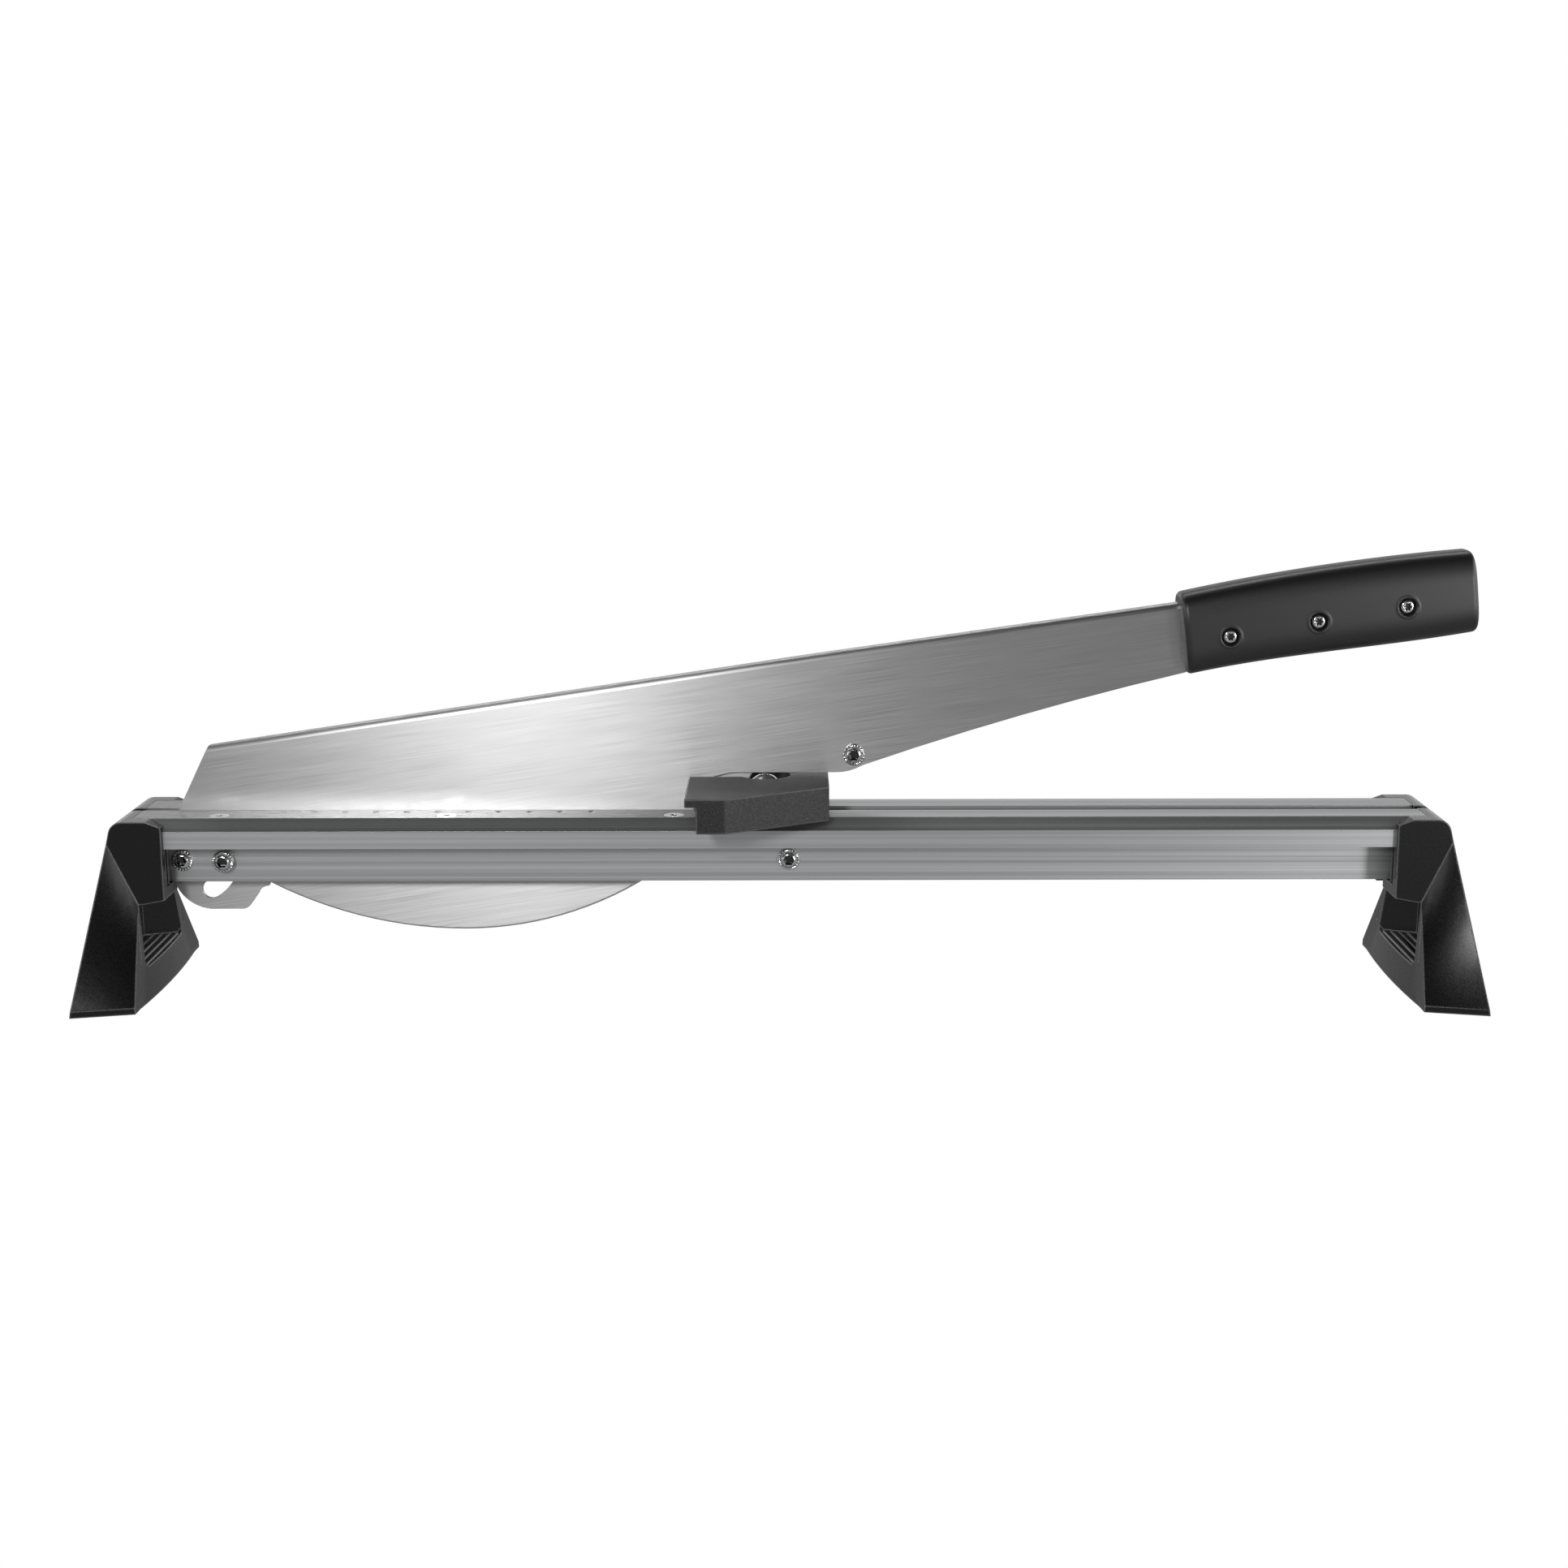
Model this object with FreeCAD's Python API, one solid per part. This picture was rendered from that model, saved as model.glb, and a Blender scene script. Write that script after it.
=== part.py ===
import FreeCAD, Part
import math
import os

# Lever guillotine cutter for vinyl, laminate and soft floor tiles.
# Millimetres. X runs along the rails, Y goes away from the user, Z is up.
# Origin: middle of the footprint, on the surface that the feet stand on.

V = FreeCAD.Vector

# ---------------------------------------------------------------- driving sizes
table_height = 86.8          # top of the cutting table above the ground
rail_length = 625.0
rail_half_width = 27.0       # slot centre to the outer face of one rail
rail_chamfer_width = 6.0
rail_chamfer_drop = 5.4
rail_lip_bottom = 14.0       # depth of the hanging lip below the table
rail_lip_wall = 2.4
rail_top_wall = 2.6
rail_web_depth = 33.6        # full depth of the web below the table
rail_web_outer = 12.0        # slot centre to the outer face of the web
rail_web_wall = 1.8
slot_half_width = 4.9        # slot centre to the inner face of a rail

pivot_inset = 20.5           # left end of the rails to the pivot
axis_drop = 22.8             # table to the axis of the three cross bolts
travel_radius = 20.6         # pivot to the travel-stop bolt
tie_x = 4.6
opening_angle = 60.0         # how far the lever lifts before its stop
pivot_x = pivot_inset - rail_length / 2.0
axis_height = table_height - axis_drop

plate_thickness = 2.0        # hardened table plates let into the rails
plate_slot_half = 2.7        # slot centre to the edge of a table plate
plate_right_gap = 1.6        # plates end this far short of the stop screw
plate_margin = 0.4           # bare rail in front of the plate
plate_screw_spacing = 110.4
plate_screw_first = pivot_x + 20.0
plate_screw_count = 3
plate_screw_offset = 15.0    # slot centre to the screw line
dimple_pitch = 15.1
dimple_first = pivot_x + 49.4
dimple_count = 11
dimple_offset = 7.0
dimple_radius = 2.0
dimple_depth = 0.5

bolt_radius = 3.0            # M6
bolt_head_radius = 5.25
bolt_head_height = 3.3
socket_across_flats = 4.0
socket_depth = 2.0
bolt_hole_clearance = 0.3
nut_across_flats = 10.0
nut_height = 6.0
nut_thread_gap = 0.05
sleeve_radius = 5.0
travel_sleeve_radius = 4.2
sleeve_end_gap = 0.05        # sleeve against rails, each end
pivot_running_gap = 0.05     # knife on its pivot sleeve
travel_slot_gap = 0.35       # sleeve in the arc slot of the knife
head_spacer_height = 3.0     # ring that stands the travel-stop head off the rail

knife_thickness = 2.5
arm_sheet = 2.0
arm_front_face = 2.3         # slot centre to the visible face of the lever
arm_width = 9.0              # outer width of the folded back
arm_fold_radius = 3.0
arm_rear_cheek = 24.0        # depth of the rear cheek below the fold
arm_rear_start = pivot_x + 34.0  # the rear cheek is cut away to the left of this
arm_left_top_x = pivot_x + 12.7
arm_left_top_z = table_height + 31.9
arm_left_bottom_x = pivot_x - 3.8
arm_left_bottom_z = table_height - 1.3
arm_skirt_drop = 6.0         # front cheek reaches this far below the table
arm_mid_x = pivot_x + 307.8
arm_mid_z = table_height + 76.1
arm_end_x = pivot_x + 484.5    # where the grip starts
arm_end_z = table_height + 101.1
arm_end_height = 33.7
arm_flat_left = pivot_x + 268.0
arm_flat_right = pivot_x + 323.6
arm_flat_clearance = 18.4    # flat under-edge above the table
arm_screw_x = pivot_x + 328.4
arm_screw_z = table_height + 27.2

belly_low_x = pivot_x + 136.0  # lowest point of the knife's cutting edge
belly_low_z = table_height - 61.2
belly_radius = 170.0
belly_left_radius = 205.0
notch_x = pivot_x + 39.0
notch_z = table_height - 38.8
tail_bottom_z = axis_height - 27.7
edge_bevel = 1.0

grip_length = 141.0
grip_half_width = 14.0
grip_round = 9.0
grip_tilt = 9.3              # slope of the grip's axis when the lever is down
grip_end_ease = 1.4          # bevel round each end of the grip
grip_screw_pitch = 42.6
grip_screw_head_radius = 3.5
grip_screw_shank_radius = 1.75
grip_recess_radius = 4.4
grip_recess_depth = 3.0

stop_left = -38.7            # fence face of the stop block
stop_right = 24.0
stop_front = -60.0
stop_front_right = -31.0
stop_flat_front = 13.5       # straight front beside the fence face
stop_back = -6.2
stop_height = 16.8
stop_lip_reach = 5.4
stop_lip_height = 4.2
stop_screw_x = -7.0
hub_radius = 12.6
hub_floor = 3.0
rim_reach = 9.2                # rim behind the hub, kept short so that it clears the knife when swivelled
table_gap = 0.3              # stop block above the table plates
stop_screw_radius = 3.0
stop_head_radius = 6.6
stop_head_height = 3.6

foot_outer_reach = 22.5      # beyond the rail end on the ground, outside
foot_inner_inset = 7.0       # short of the rail end on the ground, inside
foot_depth_outer = 66.0      # half depth on the ground, outside
foot_depth_inner = 59.5
foot_bow = 2.0               # outward bow of the inside ground line
foot_rim = 3.0               # upright rim on the ground
foot_wall = 2.8
shoulder_reach = 16.1        # beyond the rail end where leg and cap meet
shoulder_depth_outer = 45.0
shoulder_depth_inner = 30.0
shoulder_inset = 2.9
cap_floor = 5.2              # cap below the rails
cap_half_depth = 30.0
cap_inset = 15.5             # length of rail that the cap covers
cap_shoulder_reach = 11.1
cap_shoulder_drop = 10.8
cap_top_reach = 8.5
cap_top_round = 6.5
cap_ease_drop = 2.6          # the cap's top edge falls away towards the middle of the tool
cap_ease_length = 7.0
cap_open_half = 21.6         # half width of the open top over the plates
lever_slit_half = 2.9        # half width of the slit that clears the open lever
socket_gap = 0.2
socket_rib_count = 3
socket_rib_pitch = 4.5
socket_rib_wall = 1.2
pocket_floor_z = 15.2
pocket_back_z = 18.6         # the floor rises to here at the back
pocket_half = 35.0
pocket_half_floor = 30.5
pocket_half_top = 29.0
pocket_side_z = 20.0
pocket_reach = 8.5           # back of the pocket beyond the rail end
pocket_half_back = 15.0
grip_rib_count = 4
grip_rib_height = 0.5
slit_top_y = 33.4            # draft slits beside the carry pocket
slit_top_z = 41.0
slit_low_y = 38.4
slit_low_z = 19.5
slit_width = 1.6
pad_thickness = 2.6
pad_stand = 0.6              # pads stand this far below the rim
pad_length = 18.0
pad_width = 12.0
foot_screw_radius = 2.0
foot_screw_head_radius = 4.0
foot_screw_head_height = 2.4

# ---------------------------------------------------------------- derived sizes
H = table_height
rail_flat_edge = rail_half_width - rail_chamfer_width
web_bottom = H - rail_web_depth
web_middle = (rail_web_outer + slot_half_width) / 2.0
half_rail = rail_length / 2.0
knife_front = -(arm_front_face - arm_sheet)
knife_back = knife_front + knife_thickness
travel_x = pivot_x + travel_radius
travel_slot_half = travel_sleeve_radius + travel_slot_gap
stop_base = H + table_gap
stop_top = stop_base + stop_height
arm_flat_z = H + arm_flat_clearance
foot_outer = half_rail + foot_outer_reach
foot_inner = half_rail - foot_inner_inset
shoulder_outer = half_rail + shoulder_reach
shoulder_inner = half_rail - shoulder_inset
cap_inner = half_rail - cap_inset
cap_outer_shoulder = half_rail + cap_shoulder_reach
cap_outer_top = half_rail + cap_top_reach
cap_shoulder_z = H - cap_shoulder_drop
cap_bottom_z = web_bottom - cap_floor
foot_shoulder_z = cap_bottom_z - 2.0
pocket_back = half_rail + pocket_reach
foot_screw_x = foot_inner


# ---------------------------------------------------------------- small helpers
def polygon(points):
    """Closed wire through the points."""
    return Part.makePolygon(list(points) + [points[0]])


def prism(points, direction):
    """Solid made by moving a flat closed outline along a direction."""
    return Part.Face(polygon(points)).extrude(direction)


def prism_y(outline, y_low, y_high):
    """Outline of (x, z) pairs, extruded from y_low to y_high."""
    return prism([V(x, y_low, z) for x, z in outline], V(0, y_high - y_low, 0))


def prism_x(outline, x_low, x_high):
    """Outline of (y, z) pairs, extruded from x_low to x_high."""
    return prism([V(x_low, y, z) for y, z in outline], V(x_high - x_low, 0, 0))


def prism_z(outline, z_low, z_high):
    """Outline of (x, y) pairs, extruded from z_low to z_high."""
    return prism([V(x, y, z_low) for x, y in outline], V(0, 0, z_high - z_low))


def box(x_low, x_high, y_low, y_high, z_low, z_high):
    return Part.makeBox(x_high - x_low, y_high - y_low, z_high - z_low, V(x_low, y_low, z_low))


def rod_y(radius, x, z, y_low, y_high):
    return Part.makeCylinder(radius, y_high - y_low, V(x, y_low, z), V(0, 1, 0))


def rod_z(radius, x, y, z_low, z_high):
    return Part.makeCylinder(radius, z_high - z_low, V(x, y, z_low), V(0, 0, 1))


def hexagon(across_flats, centre, direction, length, turn=0.0):
    """Six-sided prism standing on centre along direction."""
    reach = across_flats / math.sqrt(3.0)
    points = [V(reach * math.cos(math.radians(turn + 60 * i)),
                reach * math.sin(math.radians(turn + 60 * i)), 0) for i in range(6)]
    solid = prism(points, V(0, 0, length))
    solid.Placement = FreeCAD.Placement(centre, FreeCAD.Rotation(V(0, 0, 1), direction))
    return solid


def button_head(radius, height, base, direction):
    """Low domed screw head: a ball cut by its seat plane and by a short rim."""
    crown = height * 0.8
    ball_radius = (radius ** 2 + crown ** 2) / (2.0 * crown)
    rim = Part.makeCylinder(radius, height, V(0, 0, 0), V(0, 0, 1))
    ball = Part.makeSphere(ball_radius, V(0, 0, height - ball_radius))
    head = rim.common(ball)
    head.Placement = FreeCAD.Placement(base, FreeCAD.Rotation(V(0, 0, 1), direction))
    return head


def mirrored_x(shape):
    return shape.mirror(V(0, 0, 0), V(1, 0, 0))


def mirrored_y(shape):
    return shape.mirror(V(0, 0, 0), V(0, 1, 0))


def export(name, shape):
    """Write one node. A compound is a group of separate identical pieces."""
    shape.exportStep("parts/" + name + ".step")
    print(name, len(shape.Solids), round(shape.Volume, 1), shape.isValid())


# ---------------------------------------------------------------- rails and plates
def rail_outline(grow=0.0):
    """Outer outline of the front rail as (y, z), slot side first, grown outwards."""
    return [(-slot_half_width + grow, H + grow),
            (-rail_flat_edge - grow * 0.4, H + grow),
            (-rail_half_width - grow, H - rail_chamfer_drop + grow * 0.4),
            (-rail_half_width - grow, H - rail_lip_bottom - grow),
            (-rail_half_width + rail_lip_wall + grow, H - rail_lip_bottom - grow),
            (-rail_half_width + rail_lip_wall + grow, H - rail_chamfer_drop - rail_top_wall / 2 - grow),
            (-rail_flat_edge + rail_top_wall / 2, H - plate_thickness - rail_top_wall - grow),
            (-rail_web_outer - grow, H - plate_thickness - rail_top_wall - grow),
            (-rail_web_outer - grow, web_bottom - grow),
            (-slot_half_width + grow, web_bottom - grow)]


def plate_span():
    """Left and right end of a table plate."""
    return -half_rail, stop_screw_x - stop_screw_radius - plate_right_gap


def make_front_rail():
    """Extrusion with a hollow web, a recess for the table plate and bolt holes."""
    rail = prism_x(rail_outline(), -half_rail, half_rail)
    cavity_top = H - plate_thickness - rail_top_wall - rail_web_wall
    cavity = box(-half_rail - 1, half_rail + 1, -rail_web_outer + rail_web_wall,
                 -slot_half_width - rail_web_wall, web_bottom + rail_web_wall, cavity_top)
    rail = rail.cut(cavity)
    plate_low, plate_high = plate_span()
    recess = box(plate_low - 1, plate_high + socket_gap, -rail_flat_edge + plate_margin,
                 0, H - plate_thickness, H + 1)
    rail = rail.cut(recess)
    hole_radius = bolt_radius + bolt_hole_clearance
    for x in (pivot_x, travel_x, tie_x):
        rail = rail.cut(rod_y(hole_radius, x, axis_height, -rail_half_width, 0))
    for x in plate_screw_places():
        rail = rail.cut(rod_z(plate_screw_radius(), x, -plate_screw_offset, H - 12, H))
    for x in (-foot_screw_x, foot_screw_x):
        rail = rail.cut(rod_z(foot_screw_radius, x, -web_middle, web_bottom - 1, web_bottom + 4))
    return rail


def plate_screw_places():
    return [plate_screw_first + i * plate_screw_spacing for i in range(plate_screw_count)]


def plate_screw_radius():
    return 2.0


def plate_screw_head_radius():
    return 5.0


def make_front_plate():
    """Flat steel strip beside the knife with countersunk holes and a row of dimples."""
    low, high = plate_span()
    plate = box(low, high, -rail_flat_edge + plate_margin + socket_gap, -plate_slot_half,
                H - plate_thickness, H)
    for x in plate_screw_places():
        plate = plate.cut(plate_screw(x, socket_gap / 2))
    for i in range(dimple_count):
        x = dimple_first + i * dimple_pitch
        ball_radius = (dimple_radius ** 2 + dimple_depth ** 2) / (2 * dimple_depth)
        ball = Part.makeSphere(ball_radius, V(x, -dimple_offset, H - dimple_depth + ball_radius))
        plate = plate.cut(ball)
    return plate


def plate_screw(x, grow=0.0):
    """Countersunk screw through a table plate, widened by grow to make its own hole."""
    head = Part.makeCone(plate_screw_radius() + grow, plate_screw_head_radius() + grow,
                         plate_thickness, V(x, -plate_screw_offset, H - plate_thickness), V(0, 0, 1))
    shank = rod_z(plate_screw_radius() + grow, x, -plate_screw_offset, H - 7, H - plate_thickness)
    return head.fuse(shank).removeSplitter()


def make_plate_screws():
    """Three countersunk screws with a hexagon socket."""
    screws = []
    for x in plate_screw_places():
        screw = plate_screw(x)
        socket = hexagon(3.0, V(x, -plate_screw_offset, H - 1.5), V(0, 0, 1), 3.0)
        screws.append(screw.cut(socket))
    return Part.makeCompound(screws)


# ---------------------------------------------------------------- cross bolts
def make_cross_bolt(x, head_stand=0.0):
    """Button-head bolt across both rails, head at the front."""
    seat = -rail_web_outer - head_stand
    shank = rod_y(bolt_radius, x, axis_height, seat, rail_web_outer + nut_height + 1.0)
    head = button_head(bolt_head_radius, bolt_head_height, V(x, seat, axis_height), V(0, -1, 0))
    bolt = shank.fuse(head).removeSplitter()
    socket_start = V(x, seat - bolt_head_height + socket_depth, axis_height)
    return bolt.cut(hexagon(socket_across_flats, socket_start, V(0, -1, 0), socket_depth + 1))


def make_nut(x):
    """Hexagon lock nut behind the rear rail, with a rounded collar."""
    body = hexagon(nut_across_flats, V(x, rail_web_outer, axis_height), V(0, 1, 0), nut_height * 0.7)
    collar = rod_y(nut_across_flats * 0.45, x, axis_height, rail_web_outer, rail_web_outer + nut_height)
    nut = body.fuse(collar).removeSplitter()
    return nut.cut(rod_y(bolt_radius + nut_thread_gap, x, axis_height, 0, 60))


def make_sleeve(x, radius):
    """Spacer tube round a cross bolt, between the two rails."""
    reach = slot_half_width - sleeve_end_gap
    tube = rod_y(radius, x, axis_height, -reach, reach)
    return tube.cut(rod_y(bolt_radius + bolt_hole_clearance, x, axis_height, -reach, reach))


def make_pivot_washer(y_low, y_high):
    """Low-friction washer between the knife and a rail, round the pivot sleeve."""
    ring = rod_y(sleeve_radius + 3.6, pivot_x, axis_height, y_low, y_high)
    return ring.cut(rod_y(sleeve_radius + 0.2, pivot_x, axis_height, y_low, y_high))


def make_head_spacer():
    """Ring under the head of the travel-stop bolt."""
    low = -rail_web_outer - head_spacer_height
    ring = rod_y(bolt_head_radius - 0.6, travel_x, axis_height, low, -rail_web_outer)
    return ring.cut(rod_y(bolt_radius + nut_thread_gap, travel_x, axis_height, low, -rail_web_outer))


# ---------------------------------------------------------------- knife and lever
def arm_top_z(x):
    """Height of the lever's top edge: two straight runs."""
    if x < arm_mid_x:
        return arm_left_top_z + (x - arm_left_top_x) * (arm_mid_z - arm_left_top_z) / (arm_mid_x - arm_left_top_x)
    return arm_mid_z + (x - arm_mid_x) * (arm_end_z - arm_mid_z) / (arm_end_x - arm_mid_x)


def arm_left_x(z):
    """Slanted left edge of the lever."""
    slope = (arm_left_bottom_x - arm_left_top_x) / (arm_left_bottom_z - arm_left_top_z)
    return arm_left_top_x + (z - arm_left_top_z) * slope


def line(start, end):
    return Part.LineSegment(start, end).toShape()


def arc(start, middle, end):
    return Part.Arc(start, middle, end).toShape()


def at(x, z):
    return V(x, 0, z)


def circle_point(centre, radius, degrees):
    return V(centre.x + radius * math.cos(math.radians(degrees)), 0,
             centre.z + radius * math.sin(math.radians(degrees)))


def plate_from_edges(edges, y_low, y_high):
    """Flat plate between two Y planes from edges drawn at Y = 0."""
    face = Part.Face(Part.Wire(edges))
    face.translate(V(0, y_low, 0))
    return face.extrude(V(0, y_high - y_low, 0))


def arm_lower_edges(tang_x, tang_z):
    """Under-edge of the lever from its flat to the grip, one arc after a short rounding."""
    start = at(arm_flat_left, arm_flat_z)
    flat_end = at(arm_flat_right - 4.0, arm_flat_z)
    turn_end = at(arm_flat_right + 9.0, arm_flat_z + 3.4)
    turn_mid = at(arm_flat_right + 2.8, arm_flat_z + 0.8)
    middle = at(arm_flat_right + 88.4, arm_flat_z + 28.7)
    end = at(tang_x, tang_z)
    return start, [line(start, flat_end), arc(flat_end, turn_mid, turn_end), arc(turn_end, middle, end)]


def make_arm():
    """Lever folded from one sheet: long front cheek, rounded back, short rear cheek."""
    end_low = at(arm_end_x + 4.6, arm_end_z - arm_end_height)
    tang_x = arm_end_x + grip_length - 20.0
    rise = (arm_end_z - arm_mid_z) / (arm_end_x - arm_mid_x)
    tang_top = at(tang_x, arm_end_z + (tang_x - arm_end_x) * rise - 7.0)
    tang_low = at(tang_x, tang_top.z - arm_end_height + 14.0)
    skirt_z = H - arm_skirt_drop
    left_bottom = at(arm_left_x(skirt_z), skirt_z)
    skirt_right = at(arm_flat_left - 22.0, skirt_z)
    step_z = arm_flat_z - 2.0
    flat_start, lower = arm_lower_edges(end_low.x, end_low.z)
    top_left = at(arm_left_top_x, arm_left_top_z)
    top_mid = at(arm_mid_x, arm_mid_z)
    top_end = at(arm_end_x + 3.0, arm_end_z + 3.0 * rise)
    edges = [line(left_bottom, skirt_right), line(skirt_right, at(skirt_right.x + 14.0, step_z)),
             line(at(skirt_right.x + 14.0, step_z), flat_start)] + lower
    edges += [line(end_low, at(end_low.x + 3.0, end_low.z + 3.0)),
              line(at(end_low.x + 3.0, end_low.z + 3.0), tang_low), line(tang_low, tang_top),
              line(tang_top, at(top_end.x + 4.0, top_end.z - 6.0)),
              line(at(top_end.x + 4.0, top_end.z - 6.0), top_end),
              line(top_end, top_mid), line(top_mid, top_left), line(top_left, left_bottom)]
    outer_low = -arm_front_face
    outer_high = outer_low + arm_width
    block = plate_from_edges(edges, outer_low, outer_high)
    back_edges = []
    for edge in block.Edges:
        middle = edge.CenterOfMass
        along_top = abs(middle.z - arm_top_z(middle.x)) < 0.2 and edge.Length > 100.0
        if along_top:
            back_edges.append(edge)
    block = block.makeFillet(arm_fold_radius, back_edges)
    # The hollow inside the fold, open downwards and at both ends.
    inner = [(arm_left_top_x - 60.0, arm_top_z(arm_left_top_x - 60.0) - arm_sheet),
             (arm_mid_x, arm_mid_z - arm_sheet),
             (tang_x + 5.0, arm_top_z(tang_x + 5.0) - arm_sheet),
             (tang_x + 5.0, web_bottom), (arm_left_top_x - 60.0, web_bottom)]
    block = block.cut(prism_y(inner, knife_front, outer_high - arm_sheet))
    # The rear cheek stops a short way down.
    rear = [(arm_left_top_x - 60.0, arm_top_z(arm_left_top_x - 60.0) - arm_rear_cheek),
            (arm_mid_x, arm_mid_z - arm_rear_cheek),
            (tang_x + 5.0, arm_top_z(tang_x + 5.0) - arm_rear_cheek),
            (tang_x + 5.0, web_bottom), (arm_left_top_x - 60.0, web_bottom)]
    block = block.cut(prism_y(rear, knife_front, outer_high + 1.0))
    trimmed = [(arm_rear_start - 90.0, arm_top_z(arm_rear_start - 90.0) - arm_fold_radius - 1.0),
               (arm_rear_start - 14.0, arm_top_z(arm_rear_start - 14.0) - arm_fold_radius - 1.0),
               (arm_rear_start, arm_top_z(arm_rear_start) - arm_rear_cheek - 1.0),
               (arm_rear_start - 90.0, web_bottom)]
    block = block.cut(prism_y(trimmed, outer_high - arm_sheet - 0.5, outer_high + 1.0))
    hole_radius = bolt_radius + bolt_hole_clearance
    block = block.cut(rod_y(hole_radius, arm_screw_x, arm_screw_z, outer_low - 1, outer_low + arm_sheet + 1))
    for x, z in grip_screw_places():
        block = block.cut(rod_y(grip_boss_radius() + 0.4, x, z, outer_low - 1, outer_high + 1))
    return block


def grip_boss_radius():
    return grip_screw_shank_radius + 1.6


def belly_point(degrees, radius):
    """Point on the round cutting edge, measured from its lowest point's centre."""
    centre = at(belly_low_x, belly_low_z + radius)
    return circle_point(centre, radius, degrees)


def make_knife():
    """Knife plate: tail with pivot hole and arc slot, round belly, back inside the lever."""
    pivot = at(pivot_x, axis_height)
    right_turn = 62.0
    left_turn = 28.0
    belly_end = belly_point(-90.0 + 56.0, belly_radius)
    belly_start = belly_point(-90.0 - left_turn, belly_left_radius)
    low = at(belly_low_x, belly_low_z)
    right_mid = belly_point(-90.0 + right_turn / 2.0, belly_radius)
    left_mid = belly_point(-90.0 - left_turn / 2.0, belly_left_radius)
    notch = at(notch_x, notch_z)
    notch_side = at(notch_x - 5.5, notch_z - 4.0)
    notch_top = at(notch_x - 2.6, notch_z - 0.6)
    hook_side = at(notch_x - 9.5, tail_bottom_z + 2.2)
    hook_corner = at(notch_x - 11.4, tail_bottom_z + 0.5)
    hook_right = at(notch_x - 14.2, tail_bottom_z)
    hook_left = at(pivot_x + 9.5, tail_bottom_z)
    hook_turn = at(pivot_x + 0.5, tail_bottom_z + 3.2)
    heel = at(pivot_x - 6.5, tail_bottom_z + 11.0)
    tail_radius = 10.0
    tail_left = circle_point(pivot, tail_radius, 180.0)
    tail_low = circle_point(pivot, tail_radius, 215.0)
    tail_high = circle_point(pivot, tail_radius, 150.0)
    skirt_z = H - arm_skirt_drop
    inset = 1.2
    back_left = at(arm_left_x(skirt_z) + inset, skirt_z + 1.0)
    top_left_z = arm_left_top_z - arm_sheet - 4.0
    top_left = at(arm_left_x(top_left_z) + inset, top_left_z)
    top_right = at(arm_screw_x + 14.0, arm_top_z(arm_screw_x + 14.0) - arm_sheet - 7.0)
    right_low = at(arm_screw_x + 14.0, arm_flat_z + 9.0)
    flat_right = at(arm_flat_right - 4.0, arm_flat_z + 2.0)
    flat_left = at(belly_end.x + 3.0, arm_flat_z + 2.0)
    edges = [line(notch, belly_start), arc(belly_start, left_mid, low), arc(low, right_mid, belly_end),
             line(belly_end, flat_left), line(flat_left, flat_right), line(flat_right, right_low),
             line(right_low, top_right), line(top_right, top_left), line(top_left, back_left),
             line(back_left, tail_high), arc(tail_high, tail_left, tail_low), line(tail_low, heel),
             arc(heel, hook_turn, hook_left), line(hook_left, hook_right),
             arc(hook_right, hook_corner, hook_side), line(hook_side, notch_side),
             arc(notch_side, notch_top, notch)]
    knife = plate_from_edges(edges, knife_front, knife_back)
    bevelled = []
    for edge in knife.Edges:
        flat_in_y = abs(edge.CenterOfMass.y - knife_front) < 0.01 or abs(edge.CenterOfMass.y - knife_back) < 0.01
        if flat_in_y and edge.Curve.TypeId == "Part::GeomCircle" and edge.Curve.Radius > 100.0:
            bevelled.append(edge)
    knife = knife.makeChamfer(edge_bevel, bevelled)
    knife = knife.cut(rod_y(sleeve_radius + pivot_running_gap, pivot_x, axis_height, -9, 9))
    knife = knife.cut(travel_slot())
    knife = knife.cut(rod_y(bolt_radius + bolt_hole_clearance, arm_screw_x, arm_screw_z, -9, 9))
    return knife


def travel_slot():
    """Arc slot round the pivot: its upper end meets the sleeve when the lever is down."""
    pivot = at(pivot_x, axis_height)
    inner = travel_radius - travel_slot_half
    outer = travel_radius + travel_slot_half
    low_angle = -opening_angle
    upper_end = circle_point(pivot, travel_radius, 0.0)
    lower_end = circle_point(pivot, travel_radius, low_angle)
    edges = [arc(circle_point(pivot, outer, 0.0), circle_point(pivot, outer, low_angle / 2),
                 circle_point(pivot, outer, low_angle)),
             arc(circle_point(pivot, outer, low_angle),
                 circle_point(lower_end, travel_slot_half, low_angle - 90.0),
                 circle_point(pivot, inner, low_angle)),
             arc(circle_point(pivot, inner, low_angle), circle_point(pivot, inner, low_angle / 2),
                 circle_point(pivot, inner, 0.0)),
             arc(circle_point(pivot, inner, 0.0), circle_point(upper_end, travel_slot_half, 90.0),
                 circle_point(pivot, outer, 0.0))]
    return plate_from_edges(edges, -9.0, 9.0)


def make_arm_screw():
    """Button-head screw that clamps the knife to the front cheek."""
    seat = -arm_front_face
    nut_end = knife_back + 5.0
    shank = rod_y(bolt_radius, arm_screw_x, arm_screw_z, seat, nut_end + 0.6)
    head = button_head(bolt_head_radius, bolt_head_height, V(arm_screw_x, seat, arm_screw_z), V(0, -1, 0))
    screw = shank.fuse(head).removeSplitter()
    socket_start = V(arm_screw_x, seat - bolt_head_height + socket_depth, arm_screw_z)
    return screw.cut(hexagon(socket_across_flats, socket_start, V(0, -1, 0), socket_depth + 1))


def make_arm_nut():
    nut = hexagon(nut_across_flats, V(arm_screw_x, knife_back, arm_screw_z), V(0, 1, 0), 5.0)
    return nut.cut(rod_y(bolt_radius + nut_thread_gap, arm_screw_x, arm_screw_z, 0, 30))


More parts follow.
